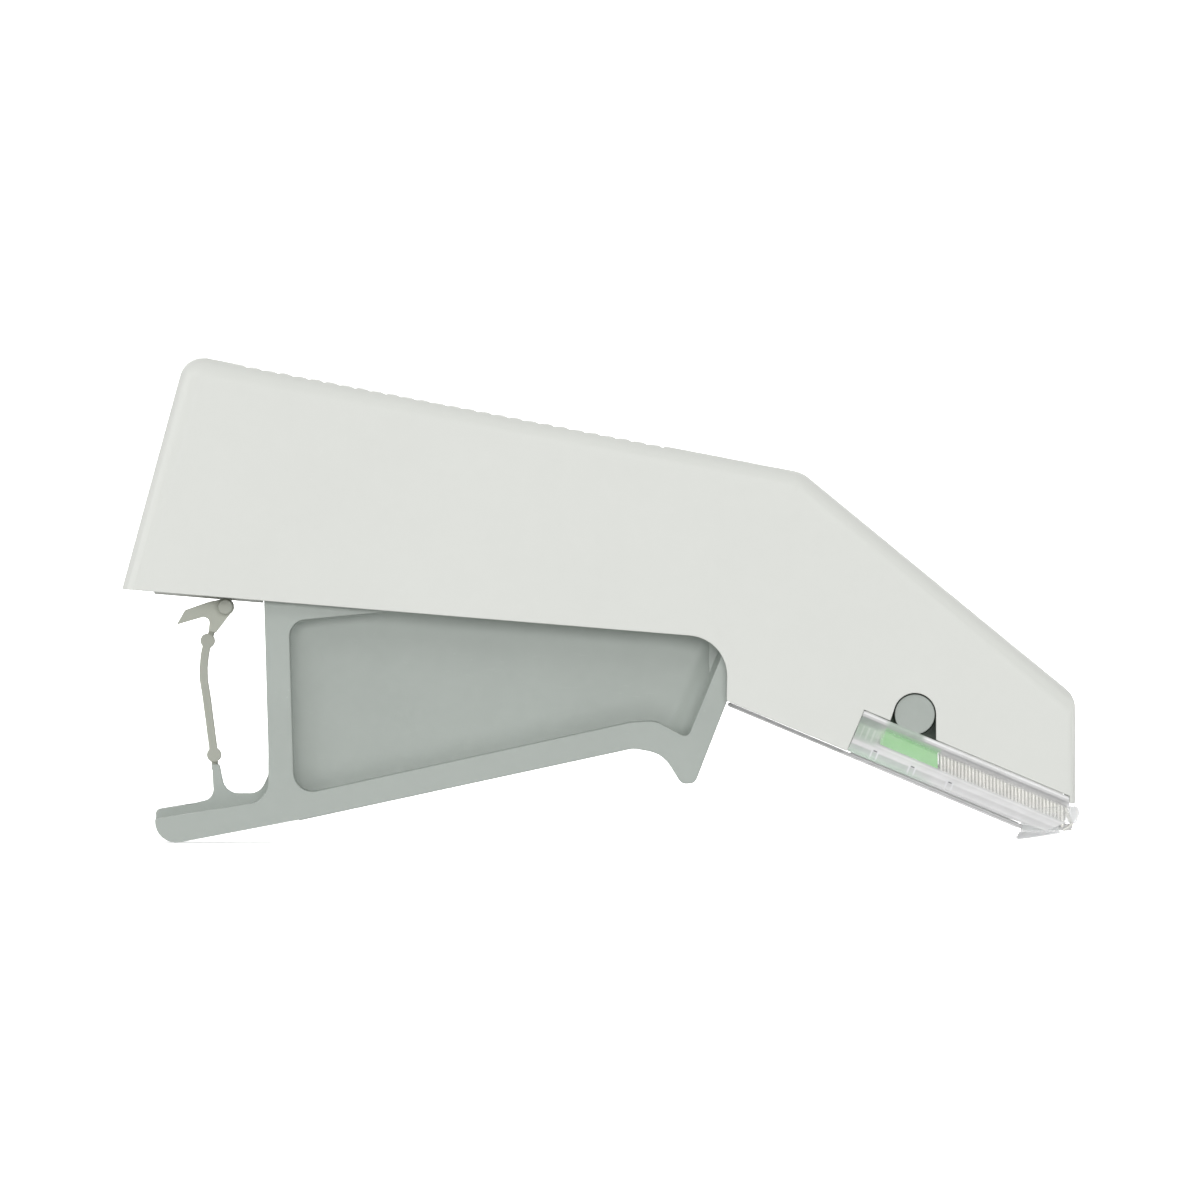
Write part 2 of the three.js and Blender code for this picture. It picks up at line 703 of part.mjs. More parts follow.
function pawlLink() {
  const bend = [[-62.05, 29.4], [-62.25, 27.4], [-62.2, 25.4], [-61.8, 23]];
  const bar = band([UPPER_KNUCKLE, ...bend, LOWER_KNUCKLE], LINK_HALF);
  return join(
    plate(bar, -PAWL_HALF, PAWL_HALF),
    axle(LOWER_KNUCKLE, KNUCKLE_R, -PAWL_HALF, PAWL_HALF, 20),
    axle(UPPER_KNUCKLE, KNUCKLE_R, -PAWL_HALF, PAWL_HALF, 20),
  );
}

function pawlHook() {
  const claw = outline([
    CLAW_TIP,
    [-65.15, 36.4, 0.4],
    [-61.3, 37.75, 4],
    [PIN_AT[0], PIN_AT[1] + 1.3, 0],
    [PIN_AT[0] + 1.25, PIN_AT[1] - 0.4, 0.6],
    [-60.35, 32.8, 0],
    [-61.45, 33.05, 0],
    [-61.3, 34.9, 0.8],
    [-62.2, 35.35, 0.8],
  ]);
  const boss = axle(PIN_AT, 1.35, -PAWL_HALF, PAWL_HALF, 24);
  return cut(join(plate(claw, -PAWL_HALF, PAWL_HALF), boss), axle(PIN_AT, 0.85, -FAR, FAR, 20));
}

/** Cross pin: thin through the claw, with a head that stands proud on each side. */
function pawlPin() {
  const clear = 0.1;
  return join(
    axle(PIN_AT, 0.85 - clear, -PIN_HALF, PIN_HALF, 20),
    axle(PIN_AT, PIN_R, PAWL_HALF + clear, PIN_HALF, 20),
    axle(PIN_AT, PIN_R, -PIN_HALF, -PAWL_HALF - clear, 20),
  );
}

// ---------------------------------------------------------------- magazine

/** Clear side window: wall with a bevelled rim, an inner ledge and three posts. */
function magazineWindow(side) {
  const y = (a, b) => (side > 0 ? [a, b] : [-b, -a]);
  const inner = HALF_WIDTH - WINDOW_WALL;
  const top = -FIT_GAP;
  const bottom = 0.1 - WINDOW_HEIGHT;
  const wallShape = outline([
    rail(FIT_GAP, bottom),
    rail(FIT_GAP, top),
    rail(railU(NOSE_X, top), top),
    [NOSE_X + 0.1, 3.4, 0.5],
    [69.6, 1.9, 1.5],
    rail(27, bottom),
  ]);
  const wall = plate(wallShape, ...y(inner, HALF_WIDTH));
  const sunk = inner + 0.3;
  const ledge = plate(railShape(FIT_GAP, 27, LEDGE_V - 0.5, LEDGE_V), ...y(4.9, sunk));
  const rim = plate(railShape(FIT_GAP, railU(NOSE_X, top) - 0.8, -1.65, -1.05), ...y(6.3, sunk));
  const posts = POSTS_U.map((u) => {
    return plate(railShape(u - 0.6, u + 0.6, LEDGE_V - 0.4, LEDGE_V + 0.5), ...y(5, sunk));
  });
  const relief = axle(PIVOT, TRUNNION_R + 0.3, ...y(inner - 2, TRUNNION_HALF + 0.2), 40);
  return cut(join(wall, ledge, rim, ...posts), relief);
}

/** Clear floor with the staple rail, the pusher's channel, the nose foot and the nose guide. */
function magazineBody() {
  const under = 0.1 - WINDOW_HEIGHT;
  const noseU = railU(72.3, FLOOR_TOP_V);
  const tail = plate(railShape(CHANNEL_START_U, 1, under, FLOOR_TOP_V), -3.4, 3.4);
  const floorHalf = HALF_WIDTH - WINDOW_WALL - 0.2;
  const floorShape = outline([
    rail(0.4, under),
    rail(0.4, FLOOR_TOP_V - 0.5),
    rail(noseU - 6, FLOOR_TOP_V - 0.5),
    [72.3, 3.25],
    [72.3, 3],
    [67.3, 2.85],
    rail(27.4, under),
  ]);
  const legSlots = blockPair(69.3, 72.6, RAIL_HALF + 0.15, 3.65, 2, 8);
  const floor = cut(plate(floorShape, -floorHalf, floorHalf), legSlots);
  const railWall = outline([
    rail(CHANNEL_START_U, FLOOR_TOP_V - 0.8),
    rail(CHANNEL_START_U, RAIL_TOP_V),
    rail(railU(72.3, RAIL_TOP_V), RAIL_TOP_V),
    [72.3, 3],
    rail(noseU - 5.5, FLOOR_TOP_V - 0.8),
  ]);
  return join(tail, floor, platePair(railWall, CHANNEL_HALF, RAIL_HALF), noseGuide());
}

/** Foot under the anvil plate, cheeks beside the driver's channel and the round tab ahead of it. */
function noseGuide() {
  const foot = outline([
    [65.6, 1.75],
    [65, 0.72, 0.25],
    [65.4, 0.5, 0.15],
    [69.3, 1, 6],
    [72.1, 1.5],
    [72.1, 1.75],
  ]);
  const cheek = outline([
    [66.5, 3.4],
    [66.5, 5.3],
    [72, 5.65],
    [74.7, 5.65, 0.5],
    [75, 4.6, 0.8],
    [74.4, 3, 0.3],
    [72.5, 3.05],
  ]);
  const channel = block(60, NOSE_X + 0.3, -3.75, 3.75, 3.3, 8);
  const undercut = block(60, NOSE_X + 0.3, -3.75, 3.75, 2.9, 3.5);
  const risers = outline([[66, 1.2], [66, 3.6], [71.8, 3.4], [71.8, 1.45]]);
  return join(
    plate(foot, -4.7, 4.7),
    platePair(risers, 3.9, 4.5),
    cut(plate(cheek, -4.6, 4.6), channel, undercut),
  );
}

/** Steel plate under the nose, curving level under the foot, with the narrow anvil at its tip. */
function anvilPlate() {
  const top = (u) => rail(u, PLATE_TOP_V);
  const low = (u) => rail(u, PLATE_TOP_V - PLATE_THICK);
  const shape = outline([
    [...low(-19.9), 0.3],
    [...top(-19.9), 0.3],
    [...top(30.1), 7],
    [71.8, 2.55, 0],
    [71.8, 2.55 - PLATE_THICK, 0],
    [...low(29.9), 7],
  ]);
  const anvil = outline([
    [71.2, 2.5, 0],
    [72.7, 2.85, 0.3],
    [73.9, 2.85, 0.3],
    [73.9, 2.2, 0.3],
    [73, 1.8, 0.3],
    [71.2, 1.9, 0],
  ]);
  return join(plate(shape, -PLATE_HALF, PLATE_HALF), plate(anvil, -1.7, 1.7, 0, 0, 4));
}

/** One U staple in the plane x, from its crown's top down to its pointed tips. */
function staple(x, top) {
  const inner = STAPLE_HALF - WIRE;
  const foot = top - LEG;
  const right = [
    [inner, top - WIRE],
    [inner, foot],
    [inner + WIRE / 2, foot - LEG_POINT],
    [STAPLE_HALF, foot],
    [STAPLE_HALF, top - CROWN_BEND],
    [STAPLE_HALF - CROWN_BEND, top],
  ];
  const left = right.map(([y, z]) => [-y, z]).reverse();
  const section = outline([...right, ...left]);
  const geometry = new THREE.ExtrudeGeometry(section, { depth: WIRE, bevelEnabled: false });
  const place = new THREE.Matrix4().makeBasis(
    new THREE.Vector3(0, 1, 0),
    new THREE.Vector3(0, 0, 1),
    new THREE.Vector3(1, 0, 0),
  );
  place.setPosition(x - WIRE / 2, 0, 0);
  geometry.applyMatrix4(place);
  return solid(geometry);
}

/** z of a staple's crown top at x, as the row lies on the sloping rail. */
function crownZ(x) {
  return rail(railU(x, CROWN_V), CROWN_V)[1] + WIRE / 2;
}

/** The row of staples, joined by a thin bridge under the crowns so that it is one piece. */
function stapleStrip() {
  const staples = [];
  for (let i = 0; i < STAPLES_IN_ROW; i += 1) {
    const x = ROW_END_X - i * STAPLE_PITCH;
    staples.push(staple(x, crownZ(x)));
  }
  const start = ROW_END_X - (STAPLES_IN_ROW - 1) * STAPLE_PITCH;
  const bridge = outline([
    [start, crownZ(start) - 0.15],
    [ROW_END_X, crownZ(ROW_END_X) - 0.15],
    [ROW_END_X, crownZ(ROW_END_X) - 0.15 - CHAIN_LINK],
    [start, crownZ(start) - 0.15 - CHAIN_LINK],
  ]);
  return join(...staples, plate(bridge, -CHAIN_LINK, CHAIN_LINK));
}

/** Green follower: a saddle over the rail, a tongue in its channel and an upright front. */
function pusher() {
  const backX = 43.7;
  const frontX = 52.75;
  const saddle = (low, high) => {
    const at = (x, v) => rail(railU(x, v), v);
    return outline([at(backX, low), at(backX, high), at(frontX, high), at(frontX + 0.05, low)]);
  };
  return join(
    plate(saddle(RAIL_TOP_V + 0.15, -1.25), -3.55, 3.55),
    platePair(saddle(-4.05, RAIL_TOP_V + 0.3), RAIL_HALF + 0.2, 3.55),
    cut(
      plate(railShape(6, 12, -5.2, RAIL_TOP_V + 0.3), 0.25 - CHANNEL_HALF, CHANNEL_HALF - 0.25),
      railRod(5, 13, ROD_R + 0.25),
    ),
  );
}

/** Round rod along the magazine, on the pusher spring's centre line. */
function railRod(u0, u1, radius) {
  const geometry = new THREE.CylinderGeometry(radius, radius, u1 - u0, 16);
  geometry.rotateZ(-Math.PI / 2);
  geometry.rotateY(RAIL_ANGLE);
  const [x, z] = rail((u0 + u1) / 2, ROD_V);
  geometry.translate(x, 0, z);
  return solid(geometry);
}

function pusherSpring() {
  const startU = CHANNEL_START_U + 1.8;
  const length = 5.8 - startU - 2 * PUSHER_SPRING_WIRE;
  const geometry = coil(PUSHER_SPRING_R, length, PUSHER_SPRING_TURNS, PUSHER_SPRING_WIRE, 10, 2);
  const [x, z] = rail(startU + PUSHER_SPRING_WIRE, ROD_V);
  geometry.rotateY(Math.PI / 2 + RAIL_ANGLE);
  geometry.translate(x, 0, z);
  return solid(geometry);
}

function springStop() {
  return plate(railShape(CHANNEL_START_U + 0.1, CHANNEL_START_U + 1.5, -5.4, -2.3), -1.75, 1.75);
}

/** Leaf spring under the channel's roof that holds the row down, its rear end turned up. */
function retainerSpring() {
  const shape = outline([
    rail(14.2, 0.2),
    rail(14.5, 0.35),
    rail(15.3, -0.88),
    rail(32, -0.95),
    rail(33.2, -0.85),
    rail(33.2, -1.05),
    rail(32, -1.18),
    rail(15, -1.1),
  ]);
  return plate(shape, -2, 2);
}

// ---------------------------------------------------------------- driver

/** Steel blade with two forming horns that pass on either side of the anvil. */
function driverBlade() {
  const x0 = DRIVER_X - BLADE_THICK / 2;
  const x1 = DRIVER_X + BLADE_THICK / 2;
  const recess = block(x0 - 1, x1 + 1, -2.2, 2.2, BLADE_BOTTOM - 1, BLADE_BOTTOM + 2.8);
  const shoulders = blockPair(x0 - 1, x1 + 1, BLADE_HALF - 0.6, FAR, BLADE_TOP - 1.5, BLADE_TOP + 1);
  return cut(block(x0, x1, -BLADE_HALF, BLADE_HALF, BLADE_BOTTOM, BLADE_TOP), recess, shoulders);
}

/** Plastic carrier behind the blade, slotted for the lever's finger. */
function driverCarrier() {
  const back = 69.2;
  const front = DRIVER_X - BLADE_THICK / 2 - 0.1;
  const half = FINGER_TIP_R + 0.4;
  const slotEnd = front - 0.45;
  const body = outline([[back, 14.5, 0.4], [back, 21.2, 0.6], [front, 20.2], [front, 14.5]]);
  const slot = outline([
    [back - 1, FINGER_TIP[1] - half],
    [back - 1, FINGER_TIP[1] + half],
    [slotEnd, FINGER_TIP[1] + half, 0.5],
    [slotEnd, FINGER_TIP[1] - half, 0.5],
  ]);
  return cut(plate(body, -3.3, 3.3), plate(slot, -FAR, FAR));
}

// ---------------------------------------------------------------- assembly

const group = new THREE.Group();

/** Adds a solid to the group as a named mesh with its finish. */
function add(name, body, look) {
  const mesh = body.getMesh();
  const geometry = new THREE.BufferGeometry();
  geometry.setAttribute('position', new THREE.BufferAttribute(mesh.vertProperties, 3));
  geometry.setIndex(new THREE.BufferAttribute(mesh.triVerts, 1));
  geometry.computeVertexNormals();
  const part = new THREE.Mesh(geometry, new THREE.MeshStandardMaterial(FINISHES[look]));
  part.name = name;
  group.add(part);
}

const halves = housingHalves();
add('housing_right', halves.right, 'shell');
add('housing_left', halves.left, 'shell');
add('trigger', trigger(), 'lever');
add('trigger_spring', triggerSpring(), 'steel');
add('pawl_link', pawlLink(), 'pawl');
add('pawl_hook', pawlHook(), 'pawl');
add('pawl_pin', pawlPin(), 'pawl');
add('magazine_body', magazineBody(), 'clear');
add('window_right', magazineWindow(-1), 'clear');
add('window_left', magazineWindow(1), 'clear');
add('anvil_plate', anvilPlate(), 'steel');
add('staple_strip', stapleStrip(), 'staple');
add('front_staple', staple(DRIVER_X, crownZ(DRIVER_X)), 'staple');
add('pusher', pusher(), 'pusher');
add('pusher_spring', pusherSpring(), 'steel');
add('spring_stop', springStop(), 'carrier');
add('guide_rod', railRod(CHANNEL_START_U + 1.75, 32, ROD_R), 'steel');
add('retainer_spring', retainerSpring(), 'steel');
add('driver_blade', driverBlade(), 'steel');
add('driver_carrier', driverCarrier(), 'carrier');

export default group;
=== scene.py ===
import math
from itertools import combinations

import bmesh
import bpy
from bpy.props import FloatProperty, FloatVectorProperty, IntProperty, PointerProperty
from mathutils import Matrix, Vector
from mathutils.bvhtree import BVHTree
from mathutils.geometry import intersect_line_line_2d, intersect_point_line


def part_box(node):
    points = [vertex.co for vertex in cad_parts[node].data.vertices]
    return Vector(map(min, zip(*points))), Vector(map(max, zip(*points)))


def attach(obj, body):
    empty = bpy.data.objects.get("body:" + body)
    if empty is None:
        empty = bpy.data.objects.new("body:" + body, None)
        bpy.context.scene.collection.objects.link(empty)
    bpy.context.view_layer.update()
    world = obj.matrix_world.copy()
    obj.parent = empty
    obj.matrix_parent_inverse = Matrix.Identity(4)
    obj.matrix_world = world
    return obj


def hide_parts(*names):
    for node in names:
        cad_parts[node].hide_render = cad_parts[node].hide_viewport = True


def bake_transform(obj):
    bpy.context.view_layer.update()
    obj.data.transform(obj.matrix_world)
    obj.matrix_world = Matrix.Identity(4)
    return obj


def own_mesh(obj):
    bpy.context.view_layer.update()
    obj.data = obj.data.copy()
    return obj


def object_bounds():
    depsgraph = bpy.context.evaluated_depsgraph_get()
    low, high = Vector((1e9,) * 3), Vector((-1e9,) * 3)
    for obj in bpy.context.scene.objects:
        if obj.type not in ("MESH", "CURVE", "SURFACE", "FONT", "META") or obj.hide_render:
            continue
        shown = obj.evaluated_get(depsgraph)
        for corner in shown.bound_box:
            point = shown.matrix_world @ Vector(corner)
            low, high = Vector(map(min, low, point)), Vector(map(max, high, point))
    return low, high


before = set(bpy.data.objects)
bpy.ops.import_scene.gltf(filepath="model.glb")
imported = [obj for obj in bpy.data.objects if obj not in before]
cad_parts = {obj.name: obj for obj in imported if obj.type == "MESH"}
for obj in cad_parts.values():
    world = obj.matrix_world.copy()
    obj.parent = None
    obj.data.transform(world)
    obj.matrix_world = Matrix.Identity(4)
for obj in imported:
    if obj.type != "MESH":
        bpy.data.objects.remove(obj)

bl_info = {
    "name": "Skin stapler",
    "version": (1, 0, 0),
    "blender": (4, 5, 0),
    "location": "View3D > Sidebar > Stapler",
    "description": "Dresses the packed skin stapler: plastics, clear magazine, wire staples and stage",
    "category": "Object",
}

MM = 0.001
CAD_BOX = [list(corner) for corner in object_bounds()]

# The magazine's frame: u runs down the staple rail to the nose, v stands square to it.
RAIL_ORIGIN = (41.2, 20.8)
RAIL_ANGLE = math.radians(22.8)
RAIL_AXIS = Vector((math.cos(RAIL_ANGLE), 0, -math.sin(RAIL_ANGLE)))
RAIL_UP = Vector((math.sin(RAIL_ANGLE), 0, math.cos(RAIL_ANGLE)))

# Places on the solids, in millimetres: trunnion and row of staples.
PIVOT = (49.1, 20.1)
ROW_END_X = 72.25
STAPLE_COUNT = 35
CROWN_V = -1.6

# The living hinges, each from the knuckle below it to the knuckle above.
LOWER_WEB = ((-60.42, 11.4), (-60.58, 13.2))
UPPER_WEB = ((-61.35, 32.0), (-60.8, 33.4))
WEB_WAIST = (0.88, 0.94, 1.06, 1.13)
WEB_SIDES = 16

# The strip's lips: where they run, their lower and upper edge, the slope at their ends, and their outer side.
LIP_SPAN = (0.6, 29.5)
LIP_LOW = -7.14
LIP_TOP = -6.92
LIP_SLOPE = 0.3
LIP_SIDE = 2.78
LIP_THICK = 0.25
LIP_EDGE = 0.04

TICK_COUNT = 3
TICK_PITCH = 0.95
TICK_V = -3.2
TICK_SIDE = 7.69
TICK_SIZE = Vector((0.26, 0.2, 1.9))
TICK_EDGE = 0.06

# The springs: radii of the wire and of the coil in millimetres, turns, and the mesh's steps and sides.
RETURN_SPRING = {"wire": 0.45, "coil": 3.6, "turns": 6.0, "steps": 24, "sides": 10}
FEED_SPRING = {"wire": 0.2, "coil": 1.45, "turns": 15.0, "steps": 16, "sides": 8}
FEED_SPAN = (-16.2, 5.8)
FEED_V = -3.9
CLOSED_TURNS = 1.0
# Rise of a closed turn, in radii of its wire.
CLOSED_RISE = 2.1

# A staple's point: its height in millimetres, its lean in radii of the wire and the size of its tip.
POINT_HEIGHT = 0.2
POINT_LEAN = 0.4
POINT_TIP = 0.25
BEND_STEPS = 5

# The staple over the anvil: (x, z) along its near and far leg, from the point up, and its crown.
NEAR_LEG = (
    (72.45, 1.98), (73.1, 2.3), (73.72, 2.72), (73.8, 3.2), (73.3, 3.7), (73.08, 4.6), (72.86, 5.3)
)
FAR_LEG = (
    (73.92, 2.1), (73.55, 1.98), (73.15, 2.35), (72.6, 2.85), (72.55, 3.35), (72.85, 4.1), (72.84, 5.3)
)
BENT_CROWN = (72.8, 5.69)
CROWN_CORNER = 0.6

# Merging of a solid's loose triangles: what counts as one point, as a sliver and as flat.
SAME_POINT = 0.02
SLIVER = 0.005
FLAT_FOLD = math.radians(0.8)

# Rounding of edges: which folds are rounded, how often that is tried, with fewer of them each time, and
# how far, in widths, a rounded mesh may stand off its skin.
ROUNDED_FOLD = math.radians(34)
ROUNDING_TRIES = 12
STAND_OFF = 1.1
# A point is pinched where two of its faces' normals have a smaller dot product than this, and its folds
# stay sharp where they are steeper than this angle.
PINCH_COSINE = 0.45
PINCH_FOLD = math.radians(16)


def rail(u, v, y=0):
    """A point of the magazine's frame, given in millimetres, as a place in metres."""
    start = Vector((RAIL_ORIGIN[0], y, RAIL_ORIGIN[1]))
    return (start + RAIL_AXIS * u + RAIL_UP * v) * MM


def crown_z(x):
    """Height of a staple's crown top at x, in millimetres, as the row lies on the sloping rail."""
    run = (x - RAIL_ORIGIN[0] - CROWN_V * RAIL_UP.x) / RAIL_AXIS.x
    wire = 0.5 * bpy.context.scene.stapler_shape.wire / MM
    return RAIL_ORIGIN[1] + run * RAIL_AXIS.z + CROWN_V * RAIL_UP.z + wire


# ------------------------------------------------------------------ settings


class StaplerShape(bpy.types.PropertyGroup):
    """Sizes of the fine shapes that the dressing adds."""

    shell_edge: FloatProperty(
        name="Shell edge",
        description="Width of the softened edges of the housing halves",
        default=0.00014,
        min=0.0,
        unit="LENGTH",
    )
    lever_edge: FloatProperty(
        name="Lever edge",
        description="Width of the softened edges of the lever",
        default=0.00018,
        min=0.0,
        unit="LENGTH",
    )
    pawl_edge: FloatProperty(
        name="Pawl edge",
        description="Width of the softened edges of the link, claw and cross pin",
        default=0.00014,
        min=0.0,
        unit="LENGTH",
    )
    web: FloatProperty(
        name="Web",
        description="Thickness of the living hinges at either end of the link",
        default=0.00125,
        min=0.0001,
        unit="LENGTH",
    )
    clear_edge: FloatProperty(
        name="Clear edge",
        description="Width of the softened edges of the clear mouldings",
        default=0.0001,
        min=0.0,
        unit="LENGTH",
    )
    metal_edge: FloatProperty(
        name="Metal edge",
        description="Width of the broken edges of the stamped steel",
        default=0.00005,
        min=0.0,
        unit="LENGTH",
    )
    wire: FloatProperty(
        name="Staple wire",
        description="Diameter of the staple wire",
        default=0.00052,
        min=0.0001,
        unit="LENGTH",
    )
    wire_sides: IntProperty(
        name="Wire sides",
        description="Faces around a staple's wire",
        default=10,
        min=6,
    )
    staple_half: FloatProperty(
        name="Staple half width",
        description="Middle of the crown to the outside of a leg",
        default=0.0035,
        min=0.001,
        unit="LENGTH",
    )
    staple_leg: FloatProperty(
        name="Staple leg",
        description="Height of a staple from its crown to the start of its point",
        default=0.0037,
        min=0.001,
        unit="LENGTH",
    )
    staple_pitch: FloatProperty(
        name="Staple pitch",
        description="Distance along X from one staple of the row to the next",
        default=0.000556,
        min=0.0001,
        unit="LENGTH",
    )
    crown_bend: FloatProperty(
        name="Crown bend",
        description="Radius of the wire's middle line where the crown turns into a leg",
        default=0.00045,
        min=0.0,
        unit="LENGTH",
    )


class StaplerFinish(bpy.types.PropertyGroup):
    """Colours of the mouldings and metals, as linear values."""

    shell: FloatVectorProperty(
        name="Shell",
        description="Warm white of the housing",
        subtype="COLOR",
        size=4,
        min=0.0,
        max=1.0,
        default=(0.74, 0.755, 0.715, 1.0),
    )
    lever: FloatVectorProperty(
        name="Lever",
        description="Grey-green of the lever",
        subtype="COLOR",
        size=4,
        min=0.0,
        max=1.0,
        default=(0.396, 0.436, 0.404, 1.0),
    )
    pawl: FloatVectorProperty(
        name="Pawl",
        description="Paler grey of the link and claw",
        subtype="COLOR",
        size=4,
        min=0.0,
        max=1.0,
        default=(0.395, 0.41, 0.35, 1.0),
    )
    pusher: FloatVectorProperty(
        name="Pusher",
        description="Pale green of the pusher",
        subtype="COLOR",
        size=4,
        min=0.0,
        max=1.0,
        default=(0.17, 0.7, 0.14, 1.0),
    )
    clear: FloatVectorProperty(
        name="Clear",
        description="Tint of the clear mouldings",
        subtype="COLOR",
        size=4,
        min=0.0,
        max=1.0,
        default=(0.55, 0.59, 0.575, 1.0),
    )
    steel: FloatVectorProperty(
        name="Steel",
        description="Colour of the stamped steel",
        subtype="COLOR",
        size=4,
        min=0.0,
        max=1.0,
        default=(0.56, 0.56, 0.54, 1.0),
    )
    wire: FloatVectorProperty(
        name="Wire",
        description="Colour of the bright drawn wire",
        subtype="COLOR",
        size=4,
        min=0.0,
        max=1.0,
        default=(0.87, 0.86, 0.81, 1.0),
    )


class StaplerStage(bpy.types.PropertyGroup):
    """The floor, the light and the camera."""

    distance: FloatProperty(
        name="Camera distance",
        description="From the camera to the near side of the housing",
        default=2.5,
        min=0.1,
        unit="LENGTH",
    )
    field: FloatProperty(
        name="Field width",
        description="Width of what the camera sees at the near side of the housing",
        default=0.1875,
        min=0.01,
        unit="LENGTH",
    )
    eye_height: FloatProperty(
        name="Camera height",
        description="Height of the camera over the floor",
        default=0.03797,
        min=0.0,
        unit="LENGTH",
    )
    ambient: FloatProperty(
        name="Ambient light",
        description="Strength of the even white surroundings",
        default=0.3,
        min=0.0,
    )
    glow: FloatProperty(
        name="Table glow",
        description="Light that comes through the translucent white table",
        default=0.5,
        min=0.0,
    )
    overhead: FloatProperty(
        name="Overhead light",
        description="Power of the large soft light over the object",
        default=4.0,
        min=0.0,
        unit="POWER",
    )
    front: FloatProperty(
        name="Front light",
        description="Power of the large soft light in front of the object",
        default=33.0,
        min=0.0,
        unit="POWER",
    )
    key: FloatProperty(
        name="Key light",
        description="Power of the soft light from above, towards the object's rear end",
        default=11.0,
        min=0.0,
        unit="POWER",
    )
    side: FloatProperty(
        name="Side light",
        description="Power of each soft light beside the object",
        default=11.0,
        min=0.0,
        unit="POWER",
    )
    under: FloatProperty(
        name="Under light",
        description="Power of the soft light from low in front, through the sweep",
        default=7.0,
        min=0.0,
        unit="POWER",
    )
    rear: FloatProperty(
        name="Rear light",
        description="Power of the soft light on the far side",
        default=20.0,
        min=0.0,
        unit="POWER",
    )
    backdrop: FloatProperty(
        name="Backdrop light",
        description="Power of each soft light that washes the sweep behind the object",
        default=25.0,
        min=0.0,
        unit="POWER",
    )


# ------------------------------------------------------------------ node helpers


class Finish:
    """A procedural material under construction, read in the piece's own coordinates."""

    def __init__(self, name, roughness):
        self.material = bpy.data.materials.new(name)
        self.material.use_nodes = True
        self.tree = self.material.node_tree
        self.shader = self.tree.nodes["Principled BSDF"]
        self.shader.inputs["Roughness"].default_value = roughness
        self.place = self.tree.nodes.new("ShaderNodeTexCoord").outputs["Object"]
        self.normal = None

    def link(self, source, target):
        self.tree.links.new(source, target)

    def put(self, kind, **values):
        node = self.tree.nodes.new(kind)
        for key, value in values.items():
            setattr(node, key, value)
        return node

    def stretched(self, scale, turn=0.0):
        """Coordinates scaled along each axis, after a turn about Y."""
        node = self.put("ShaderNodeMapping")
        node.inputs["Scale"].default_value = scale
        node.inputs["Rotation"].default_value = (0.0, turn, 0.0)
        self.link(self.place, node.inputs["Vector"])
        return node.outputs["Vector"]

    def noise(self, scale, detail=3.0, rough=0.5, place=None):
        node = self.put("ShaderNodeTexNoise")
        node.inputs["Scale"].default_value = scale
        node.inputs["Detail"].default_value = detail
        node.inputs["Roughness"].default_value = rough
        self.link(place or self.place, node.inputs["Vector"])
        return node.outputs["Fac"]

    def cells(self, scale):
        node = self.put("ShaderNodeTexVoronoi")
        node.inputs["Scale"].default_value = scale
        self.link(self.place, node.inputs["Vector"])
        return node.outputs["Distance"]

    def ranged(self, value, low, high, to_low, to_high):
        node = self.put("ShaderNodeMapRange")
        node.inputs["From Min"].default_value = low
        node.inputs["From Max"].default_value = high
        node.inputs["To Min"].default_value = to_low
        node.inputs["To Max"].default_value = to_high
        self.link(value, node.inputs["Value"])
        return node.outputs["Result"]

    def edged(self, value, edge, to_low, to_high):
        """A length's range over an edge that is given in millimetres."""
        return self.ranged(value, edge[0] * MM, edge[1] * MM, to_low, to_high)

    def reckon(self, operation, a, b=None):
        """A Math node on one or two values, each a number or a socket."""
        node = self.put("ShaderNodeMath", operation=operation)
        for socket, value in zip(node.inputs, (a,) if b is None else (a, b)):
            if isinstance(value, bpy.types.NodeSocket):
                self.link(value, socket)
            else:
                socket.default_value = value
        return node.outputs["Value"]

    def times(self, a, b):
        return self.reckon("MULTIPLY", a, b)

    def axes(self, source=None):
        """X, Y and Z of the piece's own coordinates, or of another vector."""
        node = self.put("ShaderNodeSeparateXYZ")
        self.link(source or self.place, node.inputs["Vector"])
        return node.outputs

    def blended(self, share, low, high):
        """A value between two values, each a number or a socket."""
        node = self.put("ShaderNodeMix", data_type="FLOAT")
        self.link(share, node.inputs["Factor"])
        for socket, value in ((node.inputs["A"], low), (node.inputs["B"], high)):
            if isinstance(value, bpy.types.NodeSocket):
                self.link(value, socket)
            else:
                socket.default_value = value
        return node.outputs["Result"]

    def mixed(self, share, low, high):
        """A colour between two colours, each a value or a socket."""
        node = self.put("ShaderNodeMix", data_type="RGBA")
        self.link(share, node.inputs["Factor"])
        for socket, colour in ((node.inputs[6], low), (node.inputs[7], high)):
            if isinstance(colour, bpy.types.NodeSocket):
                self.link(colour, socket)
            else:
                socket.default_value = colour
        return node.outputs[2]

    def bump(self, height, distance, strength=1.0):
        node = self.put("ShaderNodeBump")
        node.inputs["Strength"].default_value = strength
        node.inputs["Distance"].default_value = distance
        self.link(height, node.inputs["Height"])
        if self.normal:
            self.link(self.normal, node.inputs["Normal"])
        self.normal = node.outputs["Normal"]

    def colour(self, socket):
        self.link(socket, self.shader.inputs["Base Color"])

    def roughness(self, socket):
        self.link(socket, self.shader.inputs["Roughness"])

    def done(self):
        if self.normal:
            self.link(self.normal, self.shader.inputs["Normal"])
        return self.material


def shade(colour, factor):
    """A colour made lighter or darker by a factor."""
    return tuple(min(1.0, channel * factor) for channel in colour[:3]) + (1.0,)


# Painted shade around the trunnion, standing in for the shadow in the housing's hollows there: soft edges of
# its depth and of its reach, in millimetres.
PIVOT_SHADE = (0.06, 0.09, 0.065, 1.0)
PIVOT_SHADE_DEPTH = (7.0, 8.6)
PIVOT_SHADE_REACH = (9.0, 10.5)


